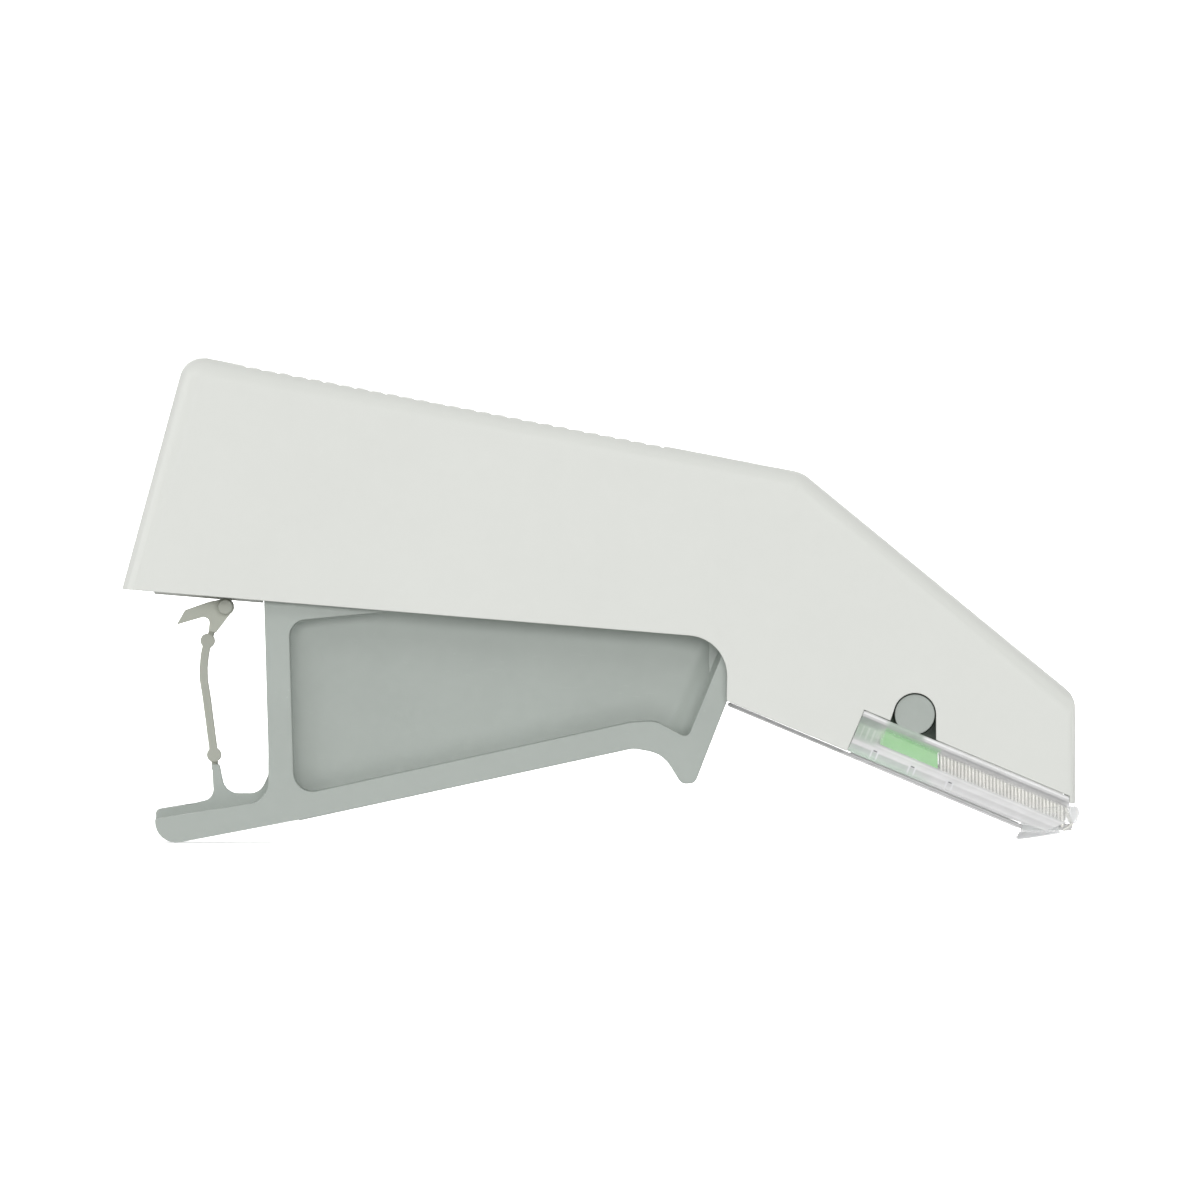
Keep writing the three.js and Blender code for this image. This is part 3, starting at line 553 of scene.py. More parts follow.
def pivot_shade_mask(finish):
    """1 on the inner surfaces around the lever's trunnion, 0 elsewhere: where shade is painted."""
    depth = finish.reckon("ABSOLUTE", finish.axes()["Y"])
    inside = finish.edged(depth, PIVOT_SHADE_DEPTH, 1.0, 0.0)
    reach = finish.put("ShaderNodeVectorMath", operation="DISTANCE")
    finish.link(finish.place, reach.inputs[0])
    reach.inputs[1].default_value = Vector((PIVOT[0], 0, PIVOT[1])) * MM
    return finish.times(inside, finish.edged(reach.outputs["Value"], PIVOT_SHADE_REACH, 1.0, 0.0))


def moulded(name, colour, roughness, mottle, grain, scuff, pivot_shaded=False):
    """Satin moulded plastic: slow colour drift, grain, rub marks and specks, and painted shade around the
    trunnion where it is asked.
    """
    finish = Finish(name, roughness)
    drift = finish.noise(70.0, 4.0, 0.55)
    fine = finish.noise(900.0, 3.0, 0.6)
    drift = finish.ranged(drift, 0.3, 0.7, 0.0, 1.0)
    base = finish.mixed(drift, shade(colour, 1.0 - mottle), shade(colour, 1.0 + mottle))
    rubs = finish.noise(300.0, 5.0, 0.7, finish.stretched((1.0, 1.0, 6.0), 0.35))
    rubbed = finish.ranged(rubs, 0.62, 0.8, 0.0, scuff)
    base = finish.mixed(rubbed, base, shade(colour, 1.22))
    specks = finish.ranged(finish.cells(420.0), 0.0, 0.09, 1.0, 0.0)
    worn = finish.ranged(finish.noise(45.0), 0.52, 0.62, 0.0, scuff)
    base = finish.mixed(finish.times(specks, worn), base, shade(colour, 1.3))
    # Painted shade: darkens the inner surfaces around the trunnion, where the housing's hollows lie in
    # shadow.
    if pivot_shaded:
        base = finish.mixed(pivot_shade_mask(finish), base, PIVOT_SHADE)
    finish.colour(base)
    finish.roughness(finish.ranged(fine, 0.25, 0.75, roughness - 0.06, roughness + 0.08))
    finish.bump(finish.noise(5200.0, 2.0), grain * MM)
    finish.bump(finish.noise(160.0, 2.0), 0.02 * MM, 0.6)
    return finish.done()


def along(finish, axis):
    """Distance in millimetres along an axis of the magazine's frame."""
    dot = finish.put("ShaderNodeVectorMath", operation="DOT_PRODUCT")
    finish.link(finish.place, dot.inputs[0])
    dot.inputs[1].default_value = axis / MM
    return finish.reckon("SUBTRACT", dot.outputs["Value"], axis.dot(rail(0, 0)) / MM)


def painted_bands(finish, height, stops):
    """Tint and density in bands up a moulding, which carry painted highlights and shade: (height, tint,
    density) from the bottom up.
    """
    low, high = stops[0][0], stops[-1][0]
    ramp = finish.put("ShaderNodeValToRGB")
    points = ramp.color_ramp.elements
    while len(points) < len(stops):
        points.new(0.5)
    for point, (level, colour, density) in zip(points, stops):
        point.position = (level - low) / (high - low)
        point.color = tuple(colour) + (density,)
    finish.link(finish.ranged(height, low, high, 0.0, 1.0), ramp.inputs["Fac"])
    return ramp.outputs["Color"], ramp.outputs["Alpha"]


def side_facing(finish):
    """How squarely a face looks to the side, from 0 on thin edges to 1 on the flat sides."""
    normal = finish.tree.nodes.new("ShaderNodeTexCoord").outputs["Normal"]
    side = finish.reckon("ABSOLUTE", finish.axes(normal)["Y"])
    return finish.ranged(side, 0.4, 0.95, 0.0, 1.0)


def polished(finish, tint, density, edge):
    """Ends a clear plastic: flow lines, haze and the denser look of its thin edges, which is painted
    refraction shade.
    """
    haze = finish.noise(240.0, 4.0, 0.6, finish.stretched((0.3, 1.0, 1.0), -RAIL_ANGLE))
    hazy = finish.times(density, finish.ranged(haze, 0.35, 0.7, 0.85, 1.25))
    # Painted refraction shade: faces that don't face the side take the denser edge value.
    finish.link(finish.blended(side_facing(finish), edge, hazy), finish.shader.inputs["Alpha"])
    flow = finish.noise(600.0, 4.0, 0.6)
    shine = finish.put("ShaderNodeMix", data_type="RGBA", blend_type="MULTIPLY")
    shine.inputs["Factor"].default_value = 1.0
    finish.link(tint, shine.inputs[6])
    finish.link(finish.mixed(flow, (0.93, 0.93, 0.93, 1.0), (1.0, 1.0, 1.0, 1.0)), shine.inputs[7])
    finish.colour(shine.outputs[2])
    finish.roughness(finish.ranged(flow, 0.4, 0.75, 0.05, 0.2))
    waves = finish.noise(130.0, 2.0, place=finish.stretched((1.0, 1.0, 3.0), -RAIL_ANGLE))
    finish.bump(waves, 0.03 * MM, 0.5)
    return finish.done()


def band(finish, value, start, end, soft=0.08):
    """1 between start and end, 0 outside, with soft ends."""
    rise = finish.ranged(value, start - soft, start + soft, 0.0, 1.0)
    return finish.times(rise, finish.ranged(value, end - soft, end + soft, 1.0, 0.0))


def patch(finish, run, height, spot):
    """1 on a soft-edged oblong of the magazine's frame, 0 elsewhere: its two spans and their softness."""
    (start, end, soft_ends), (low, high, soft_sides) = spot
    return finish.times(band(finish, run, start, end, soft_ends), band(finish, height, low, high, soft_sides))


def grey(level):
    return (level, level, level)


# Bands up the side window, each (v, tint, density): foot, ledge, open field, a grey line of painted shade and
# a bright top bar of painted highlight.
WINDOW_BANDS = (
    (-6.85, grey(0.62), 0.6),
    (-6.62, grey(0.68), 0.6),
    (-6.35, grey(0.81), 0.66),
    (-5.9, grey(0.74), 0.7),
    (-5.6, grey(0.7), 0.72),
    (-5.43, grey(0.75), 0.75),
    (-5.3, grey(0.88), 0.72),
    (-4.9, grey(0.84), 0.7),
    (-4.65, grey(0.78), 0.7),
    (-4.4, grey(0.88), 0.68),
    (-4.15, grey(0.76), 0.5),
    (-3.95, grey(0.85), 0.19),
    (-2.9, (0.88, 0.88, 0.85), 0.17),
    (-2.1, (0.95, 0.95, 0.92), 0.17),
    (-1.75, grey(0.7), 0.34),
    (-1.35, grey(0.56), 0.6),
    (-1.15, grey(0.41), 0.75),
    (-1.0, grey(0.44), 0.75),
    (-0.86, grey(0.66), 0.75),
    (-0.62, grey(0.74), 0.8),
    (-0.46, grey(0.97), 0.85),
    (-0.32, grey(0.92), 0.82),
    (-0.2, grey(0.74), 0.8),
    (-0.05, grey(0.68), 0.8),
)
# The same up the window's rear end, painted darker and greener: painted shade of the dim inside behind it.
REAR_SHADE_BANDS = (
    (-4.6, (0.64, 0.68, 0.64), 0.7),
    (-4.1, (0.54, 0.62, 0.55), 0.7),
    (-3.6, (0.5, 0.6, 0.5), 0.66),
    (-2.3, (0.5, 0.6, 0.5), 0.66),
    (-1.9, (0.39, 0.455, 0.4), 0.7),
    (-1.2, (0.35, 0.4, 0.36), 0.75),
)
REAR_SHADE_FADE = (3.1, 4.7)
REAR_BAND = (-4.75, -1.0, 0.15)
# Where the pusher's painted green shade fades out of the floor and of the top bar.
FLOOR_FADE = (9.0, 14.5)
FLOOR_EDGE = (-5.6, -5.45)
BAR_SPAN = (4.2, 10.4, 0.5)
BAR_EDGE = (-1.05, -0.9)
# The posts at the window's foot: the first one's u, their pitch, and where the row of them ends.
POST_START = 4.1
POST_PITCH = 6.33
POST_ROW_END = (19.0, 19.5)
# Spots on the window, each a span along the rail and a span up from it, with how soft the ends are. A post's
# painted highlight bars and painted shadow count the first span from the post's middle.
PUSHER_CAP = ((4.3, 13.5, 0.2), (-2.0, -1.1, 0.2))
FLOOR_GLOW = ((-3.0, 12.0, 3.5), (-7.2, -6.2, 0.25))
TICK_FIELD = ((0.9, 3.9, 0.1), (-4.2, -2.3, 0.15))
POST_BARS = ((0.38, 0.6, 0.1), (-6.5, -5.05, 0.3))
POST_SHADOWS = ((-0.1, 0.3, 0.08), (-5.4, -5.2, 0.05))
# Tints painted on the window: green shade and light from the pusher, highlights and shadow on the posts, and
# the ticks' sheen.
FLOOR_SHADE_GREEN = (0.5, 0.6, 0.53, 1.0)
BAR_SHADE_GREEN = (0.4, 0.49, 0.41, 1.0)
CAP_LIGHT_GREEN = (0.35, 0.58, 0.35, 1.0)
GLOW_GREEN = (0.5, 0.76, 0.53, 1.0)
POST_HIGHLIGHT = (0.88, 0.89, 0.91, 1.0)
POST_SHADOW_GREY = (0.22, 0.22, 0.24, 1.0)
TICK_WHITE = (0.74, 0.8, 0.74, 1.0)


def paint_pusher_light(finish, tint, run, height):
    """Painted green shade and light from the pusher on the floor, the top bar and the window in front of it.
    """
    low = finish.ranged(height, *FLOOR_EDGE, 1.0, 0.0)
    tint = finish.mixed(finish.times(finish.ranged(run, *FLOOR_FADE, 0.55, 0.0), low), tint, FLOOR_SHADE_GREEN)
    top = finish.ranged(height, *BAR_EDGE, 0.0, 0.85)
    tint = finish.mixed(finish.times(band(finish, run, *BAR_SPAN), top), tint, BAR_SHADE_GREEN)
    cap = patch(finish, run, height, PUSHER_CAP)
    tint = finish.mixed(finish.ranged(cap, 0.0, 1.0, 0.0, 0.75), tint, CAP_LIGHT_GREEN)
    # Painted light: a cloudy green glow on the floor in front of the pusher.
    cloudy = finish.ranged(finish.noise(170.0), 0.4, 0.6, 0.2, 0.6)
    return finish.mixed(finish.times(patch(finish, run, height, FLOOR_GLOW), cloudy), tint, GLOW_GREEN)


def posted(finish, tint, run, height):
    """Posts along the window's foot, each a pair of pale bars of painted highlight with a painted shadow
    across its top.
    """
    aside = finish.reckon("PINGPONG", finish.reckon("SUBTRACT", run, POST_START), POST_PITCH / 2)
    row = finish.ranged(run, *POST_ROW_END, 1.0, 0.0)
    for spot, colour in ((POST_BARS, POST_HIGHLIGHT), (POST_SHADOWS, POST_SHADOW_GREY)):
        tint = finish.mixed(finish.times(row, patch(finish, aside, height, spot)), tint, colour)
    return tint


def ticked(finish, tint, run, height):
    """The faint sheen of the plain ticks."""
    step = finish.reckon("PINGPONG", run, TICK_PITCH / 2)
    ticks = finish.times(patch(finish, run, height, TICK_FIELD), finish.ranged(step, 0.1, 0.22, 0.5, 0.0))
    return finish.mixed(ticks, tint, TICK_WHITE)


def window_clear(name):
    """Clear side window: painted highlight on the bright top bar, painted shade in the grey line under it,
    hazy field, frosted ledge, posts with painted highlights and shadow, foot, and the pusher's painted green
    light and shade.
    """
    finish = Finish(name, 0.1)
    height = along(finish, RAIL_UP)
    run = along(finish, RAIL_AXIS)
    tint, density = painted_bands(finish, height, WINDOW_BANDS)
    rear_shade_tint, rear_shade_density = painted_bands(finish, height, REAR_SHADE_BANDS)
    # Painted shade: the rear end of the window, darker and greener.
    rear = finish.times(finish.ranged(run, *REAR_SHADE_FADE, 1.0, 0.0), band(finish, height, *REAR_BAND))
    tint = finish.mixed(rear, tint, rear_shade_tint)
    tint = paint_pusher_light(finish, tint, run, height)
    tint = posted(finish, tint, run, height)
    tint = ticked(finish, tint, run, height)
    return polished(finish, tint, finish.blended(rear, density, rear_shade_density), 0.4)


# Where the clear body is thick enough to look frosted, in millimetres: (start, end) of each soft edge.
TAB_EDGE = (73.3, 73.7)
FOOT_EDGE = (1.55, 1.9)
NOSE_EDGE = (4.0, 4.6)
NOSE_SPAN = (62.5, 71.0)
FROST = (0.68, 0.69, 0.695, 1.0)
FOOT_GREY = (0.4, 0.41, 0.415, 1.0)


def clear_body(name, colour):
    """Clear moulding of the floor, rail and nose, frosted in the thick tab and foot."""
    finish = Finish(name, 0.1)
    place = finish.axes()
    across, height = place["X"], place["Z"]
    tab = finish.edged(across, TAB_EDGE, 0.0, 1.0)
    foot = finish.edged(height, FOOT_EDGE, 1.0, 0.0)
    nose = finish.edged(height, NOSE_EDGE, 0.6, 0.0)
    nose = finish.times(nose, band(finish, across, NOSE_SPAN[0] * MM, NOSE_SPAN[1] * MM, 1.0 * MM))
    frosted = finish.reckon("MAXIMUM", finish.reckon("MAXIMUM", tab, foot), nose)
    tint = finish.mixed(frosted, shade(colour, 1.15), FROST)
    tint = finish.mixed(foot, tint, FOOT_GREY)
    density = finish.ranged(frosted, 0.0, 1.0, 0.09, 0.56)
    return polished(finish, tint, density, 0.5)


# Painted shade up the strip's sheared side: dark grey lines from its lower edge to its upper one.
STRIP_SHADE_BANDS = (
    (-7.8, grey(0.22), 1.0),
    (-7.7, grey(0.42), 1.0),
    (-7.52, grey(0.42), 1.0),
    (-7.46, grey(0.28), 1.0),
    (-7.36, grey(0.28), 1.0),
    (-7.3, grey(0.39), 1.0),
    (-7.13, grey(0.38), 1.0),
    (-7.08, grey(0.3), 1.0),
    (-7.0, grey(0.3), 1.0),
    (-6.95, grey(0.48), 1.0),
)


def stamped_steel(name, colour, roughness, turn, sheared=False):
    """Stainless strip with rolling lines along its length, and painted shade in dark lines on a sheared side.
    """
    finish = Finish(name, roughness)
    finish.shader.inputs["Metallic"].default_value = 1.0
    lines = finish.noise(1.0, 4.0, 0.65, finish.stretched((90.0, 5200.0, 5200.0), turn))
    stains = finish.ranged(finish.noise(260.0, 3.0), 0.35, 0.7, 0.0, 1.0)
    base = finish.mixed(stains, shade(colour, 0.92), shade(colour, 1.1))
    base = finish.mixed(finish.ranged(lines, 0.3, 0.7, 0.0, 0.35), base, shade(colour, 0.7))
    if sheared:
        # Painted shade: dark lines up the sheared side stand in for the shade along the strip's edges.
        painted_shade_lines = painted_bands(finish, along(finish, RAIL_UP), STRIP_SHADE_BANDS)[0]
        base = finish.mixed(side_facing(finish), base, painted_shade_lines)
    finish.colour(base)
    finish.roughness(finish.ranged(lines, 0.25, 0.75, roughness - 0.08, roughness + 0.12))
    finish.bump(lines, 0.006 * MM, 0.5)
    return finish.done()


def drawn_wire(name, colour):
    """Bright wire with draw lines down its length and a trace of dulling."""
    finish = Finish(name, 0.3)
    finish.shader.inputs["Metallic"].default_value = 0.35
    lines = finish.noise(1.0, 3.0, 0.6, finish.stretched((9000.0, 9000.0, 260.0)))
    dull = finish.ranged(finish.noise(700.0, 3.0), 0.4, 0.7, 0.0, 1.0)
    finish.colour(finish.mixed(dull, shade(colour, 1.05), shade(colour, 0.86)))
    finish.roughness(finish.ranged(lines, 0.3, 0.7, 0.28, 0.42))
    finish.bump(lines, 0.004 * MM, 0.4)
    return finish.done()


def table_white(name, glow):
    """Plain translucent white sweep with the faintest unevenness."""
    finish = Finish(name, 0.6)
    finish.shader.inputs["Emission Color"].default_value = (1.0, 1.0, 1.0, 1.0)
    finish.shader.inputs["Emission Strength"].default_value = glow
    drift = finish.noise(3.0, 3.0)
    finish.colour(finish.mixed(drift, (0.9, 0.9, 0.9, 1.0), (0.93, 0.93, 0.93, 1.0)))
    finish.roughness(finish.ranged(drift, 0.3, 0.7, 0.55, 0.7))
    finish.bump(finish.noise(900.0, 2.0), 0.01 * MM, 0.3)
    return finish.done()


def material(key):
    """The stapler's materials, each made once."""
    name = "stapler_" + key
    tint = bpy.context.scene.stapler_finish
    # Colour, roughness, mottle, grain and scuff, and True where shade is painted around the trunnion.
    plastics = {
        "shell": (tint.shell, 0.46, 0.008, 0.004, 0.12, True),
        "lever": (tint.lever, 0.42, 0.025, 0.005, 0.45),
        "pawl": (tint.pawl, 0.42, 0.02, 0.004, 0.3),
        # The claw's colour is the pawl's made lighter: painted light that lifts it out of the shadow it sits
        # in.
        "claw": (shade(tint.pawl, 1.22), 0.42, 0.02, 0.004, 0.3),
        "pin": (shade(tint.pawl, 1.08), 0.4, 0.02, 0.004, 0.3),
        "pusher": (tint.pusher, 0.4, 0.03, 0.004, 0.3),
        "carrier": (tint.shell, 0.5, 0.02, 0.005, 0.3),
    }
    # Colour, roughness and turn of the rolling lines, and True where a side is sheared and painted with shade
    # lines.
    steels = {
        "strip": (tint.steel, 0.44, -RAIL_ANGLE, True),
        "blade": (tint.steel, 0.26, math.pi / 2),
    }
    # The bent staple's wire is the wire made darker: painted shade, since it sits outside the window's haze.
    wires = {"wire": tint.wire, "bent_wire": shade(tint.wire, 0.8), "spring": tint.steel}
    found = bpy.data.materials.get(name)
    if found:
        return found
    if key in plastics:
        return moulded(name, *plastics[key])
    if key in steels:
        return stamped_steel(name, *steels[key])
    if key in wires:
        return drawn_wire(name, wires[key])
    if key == "clear":
        return clear_body(name, tint.clear)
    if key == "window":
        return window_clear(name)
    raise RuntimeError("no material called " + key)


# ------------------------------------------------------------------ mesh helpers


def solid_of(node):
    """A bmesh copy of a CAD node, its loose triangles merged back into flat faces."""
    mesh = bmesh.new()
    mesh.from_mesh(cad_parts[node].data)
    bmesh.ops.remove_doubles(mesh, verts=mesh.verts, dist=SAME_POINT * MM)
    bmesh.ops.dissolve_degenerate(mesh, edges=mesh.edges, dist=SLIVER * MM)
    bmesh.ops.dissolve_limit(mesh, angle_limit=FLAT_FOLD, verts=mesh.verts, edges=mesh.edges)
    return mesh


def crossings(face):
    """Middles of the edges at which a flat face's outline crosses itself."""
    drop = max(range(3), key=lambda axis: abs(face.normal[axis]))
    kept = [axis for axis in range(3) if axis != drop]
    flat = [Vector([vert.co[axis] for axis in kept]) for vert in face.verts]
    count = len(flat)
    spots = []
    for i in range(count):
        a, b = flat[i], flat[(i + 1) % count]
        low, high = min(a.x, b.x), max(a.x, b.x)
        for j in range(i + 2, count if i else count - 1):
            c, d = flat[j], flat[(j + 1) % count]
            if max(c.x, d.x) < low or min(c.x, d.x) > high:
                continue
            if intersect_line_line_2d(a, b, c, d):
                spots.append((face.verts[i].co + face.verts[(i + 1) % count].co) / 2)
                spots.append((face.verts[j].co + face.verts[(j + 1) % count].co) / 2)
    return spots


def strays(mesh, skin, width):
    """Places where a rounded mesh has left the skin it was rounded from, folded over or crossed itself."""
    spots = []
    for vert in mesh.verts:
        if skin.find_nearest(vert.co)[3] > STAND_OFF * width:
            spots.append(vert.co.copy())
            spots.extend(edge.other_vert(vert).co.copy() for edge in vert.link_edges)
    for face in mesh.faces:
        middle = face.calc_center_median()
        normal, distance = skin.find_nearest(middle)[1::2]
        if face.normal.dot(normal) < -0.3 and distance < SAME_POINT * MM:
            spots.append(middle)
        if len(face.verts) > 4:
            spots.extend(crossings(face))
    return spots


def gap(point, edge):
    """Distance from a point to an edge."""
    start, end = (vert.co for vert in edge.verts)
    share = min(1.0, max(0.0, intersect_point_line(point, start, end)[1]))
    return (start.lerp(end, share) - point).length


def soften(mesh, width, segments=2):
    """Rounds the edges where faces meet steeply.

    An edge that can't take it stays sharp. Where no try comes out clean, all of them do: so it is with
    the side window on the right.
    """
    mesh.edges.ensure_lookup_table()
    skin = BVHTree.FromBMesh(mesh)
    folds = [edge for edge in mesh.edges if edge.is_manifold]
    sharp = [edge.index for edge in folds if edge.calc_face_angle(0.0) > ROUNDED_FOLD]
    for turn in range(ROUNDING_TRIES):
        trial = mesh.copy()
        trial.edges.ensure_lookup_table()
        bmesh.ops.bevel(
            trial,
            geom=[trial.edges[index] for index in sharp],
            offset=width,
            offset_type="OFFSET",
            affect="EDGES",
            segments=segments,
            profile=0.5,
            material=-1,
            clamp_overlap=False,
            loop_slide=True,
        )
        spots = strays(trial, skin, width)
        if not spots:
            mesh.free()
            return trial
        trial.free()
        near = (2.0 + turn) * width
        sharp = [i for i in sharp if min(gap(spot, mesh.edges[i]) for spot in spots) > near]
    return mesh


def pinched(mesh):
    """Edges to keep sharp at the points where an edge's rounding runs out and steep faces meet."""
    mesh.edges.index_update()
    found = set()
    for vert in mesh.verts:
        normals = [face.normal for face in vert.link_faces]
        if any(one.dot(other) < PINCH_COSINE for one, other in combinations(normals, 2)):
            folds = (edge for edge in vert.link_edges if edge.is_manifold)
            found.update(edge.index for edge in folds if edge.calc_face_angle() > PINCH_FOLD)
    return found


def parted(mesh, name):
    """A copy of a bmesh, its many-sided faces cut into triangles. A face that crosses itself is an error."""
    copy = mesh.copy()
    area = sum(face.calc_area() for face in copy.faces)
    many = [face for face in copy.faces if len(face.verts) > 4]
    bmesh.ops.triangulate(copy, faces=many, quad_method="BEAUTY", ngon_method="EAR_CLIP")
    if abs(sum(face.calc_area() for face in copy.faces) - area) > 0.002 * area:
        raise RuntimeError(name + " has a face that crosses itself")
    return copy


def make_piece(name, mesh, key, smooth=38.0, whole=False):
    """An object with its material from a bmesh, whole or cut into triangles, smooth over small folds."""
    cut = parted(mesh, name)
    kept = mesh if whole else cut
    data = bpy.data.meshes.new(name)
    kept.to_mesh(data)
    folds = pinched(kept) if whole else ()
    mesh.free()
    cut.free()
    piece = bpy.data.objects.new(name, data)
    bpy.context.scene.collection.objects.link(piece)
    data.shade_smooth()
    data.set_sharp_from_angle(angle=math.radians(smooth))
    for index in folds:
        data.edges[index].use_edge_sharp = True
    data.materials.append(material(key))
    return piece


def weigh_normals(piece):
    """Keeps flat faces flat in the shading beside their rounded edges."""
    modifier = piece.modifiers.new("Weighted normals", "WEIGHTED_NORMAL")
    modifier.mode = "FACE_AREA"
    modifier.weight = 50
    modifier.keep_sharp = True
    triangles = piece.modifiers.new("Triangles", "TRIANGULATE")
    triangles.min_vertices = 5
    triangles.quad_method = "BEAUTY"
    triangles.ngon_method = "CLIP"
    triangles.keep_custom_normals = True


def dress(node, name, body, key, width, segments=2):
    """Stands a softened copy in for a CAD node."""
    mesh = soften(solid_of(node), width, segments)
    piece = make_piece(name, mesh, key, whole=True)
    weigh_normals(piece)
    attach(piece, body)
    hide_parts(node)
    return piece


def edges_of(made):
    """The edges among what an operator made."""
    return [item for item in made if isinstance(item, bmesh.types.BMEdge)]


def verts_of(made):
    """The vertices among what an operator made."""
    return [item for item in made if isinstance(item, bmesh.types.BMVert)]


def start_ring(mesh, radius, sides, place):
    """A ring of edges, turned and set by a matrix."""
    made = bmesh.ops.create_circle(mesh, cap_ends=False, radius=radius, segments=sides, matrix=place)
    return list({edge for vert in made["verts"] for edge in vert.link_edges})


def extrude_ring(mesh, ring, step, scale=1.0):
    """Carries a ring of edges on by a step, and scales it about its middle."""
    made = bmesh.ops.extrude_edge_only(mesh, edges=ring)["geom"]
    verts = verts_of(made)
    bmesh.ops.translate(mesh, verts=verts, vec=step)
    if scale != 1.0:
        middle = sum((vert.co for vert in verts), Vector()) / len(verts)
        bmesh.ops.scale(mesh, verts=verts, vec=(scale, scale, scale), space=Matrix.Translation(-middle))
    chosen = set(verts)
    return [edge for edge in edges_of(made) if set(edge.verts) <= chosen]


def bend_ring(mesh, ring, centre, axis, angle, steps, rise=0.0):
    """Turns a ring of edges about a centre, rising at each step, and leaves a bent tube behind it."""
    made = bmesh.ops.spin(
        mesh,
        geom=ring,
        cent=centre,
        axis=axis,
        dvec=(0, 0, rise),
        angle=angle,
        steps=steps,
        use_duplicate=False,
    )["geom_last"]
    return edges_of(made)


def close_ring(mesh, ring):
    """Closes a ring of edges with one face."""
    bmesh.ops.edgeloop_fill(mesh, edges=ring)


# ------------------------------------------------------------------ wire parts


def staple_mesh(shape):
    """One U staple in the plane X = 0 with its crown's top at the origin, legs down to their points."""
    mesh = bmesh.new()
    radius = shape.wire / 2
    side = shape.staple_half - radius
    bend = shape.crown_bend
    straight = shape.staple_leg - radius - bend
    lean = radius * POINT_LEAN
    foot = Matrix.Translation((0, side, -shape.staple_leg))
    start = start_ring(mesh, radius, shape.wire_sides, foot)
    tip = extrude_ring(mesh, start, (0, lean, -POINT_HEIGHT * MM), POINT_TIP)
    close_ring(mesh, tip)
    ring = extrude_ring(mesh, start, (0, 0, straight))
    ring = bend_ring(mesh, ring, (0, side - bend, -radius - bend), (1, 0, 0), math.pi / 2, BEND_STEPS)
    ring = extrude_ring(mesh, ring, (0, -2 * (side - bend), 0))
    ring = bend_ring(mesh, ring, (0, bend - side, -radius - bend), (1, 0, 0), math.pi / 2, BEND_STEPS)
    ring = extrude_ring(mesh, ring, (0, 0, -straight))
    tip = extrude_ring(mesh, ring, (0, -lean, -POINT_HEIGHT * MM), POINT_TIP)
    close_ring(mesh, tip)
    bmesh.ops.recalc_face_normals(mesh, faces=mesh.faces)
    return mesh


def coil_mesh(spring, length):
    """A round-wire coil along +Z from the origin, its end turns closed up."""
    mesh = bmesh.new()
    wire = spring["wire"] * MM
    start = Matrix.Translation((spring["coil"] * MM, 0, 0)) @ Matrix.Rotation(math.pi / 2, 4, "X")
    ring = start_ring(mesh, wire, spring["sides"], start)
    close_ring(mesh, ring)
    closed = CLOSED_TURNS * CLOSED_RISE * wire
    open_turns = spring["turns"] - 2 * CLOSED_TURNS
    for turns, rise in ((CLOSED_TURNS, closed), (open_turns, length - 2 * closed), (CLOSED_TURNS, closed)):
        steps = max(1, round(turns * spring["steps"]))
        ring = bend_ring(mesh, ring, (0, 0, 0), (0, 0, 1), turns * 2 * math.pi, steps, rise / steps)
    close_ring(mesh, ring)
    bmesh.ops.recalc_face_normals(mesh, faces=mesh.faces)
    return mesh


# ------------------------------------------------------------------ operators

# The stage, in metres.
TABLE_HALF = 6.0
TABLE_FRONT = -4.5
TABLE_BACK = 2.0
TURN_RADIUS = 1.5
TURN_STEPS = 24
WALL_HEIGHT = 4.0
EYE_X = -0.0001
OBJECT = (0, 0, 0.04)
# Each lamp: its name, the setting that holds its power, its size, its place and what it is aimed at.
LAMPS = (
    ("overhead", "overhead", (2.0, 1.5), (-0.2, -0.35, 1.9), OBJECT),
    ("front", "front", (2.4, 0.8), (0.1, -3.0, 0.47), OBJECT),
    ("key", "key", (1.0, 1.0), (-1.4, -1.7, 1.6), OBJECT),
    ("side_left", "side", (1.0, 1.0), (-2.0, -0.25, 0.6), OBJECT),
    ("side_right", "side", (1.0, 1.0), (2.0, -0.25, 0.6), OBJECT),
    ("under", "under", (2.0, 1.0), (0.0, -1.8, -0.8), OBJECT),
    ("rear", "rear", (2.0, 1.0), (0.0, 2.7, 0.85), OBJECT),
    ("backdrop_left", "backdrop", (1.6, 1.2), (-0.9, 1.2, 1.6), (-0.5, 2.9, 0.3)),
    ("backdrop_right", "backdrop", (1.6, 1.2), (0.9, 1.2, 1.6), (0.5, 2.9, 0.3)),
)


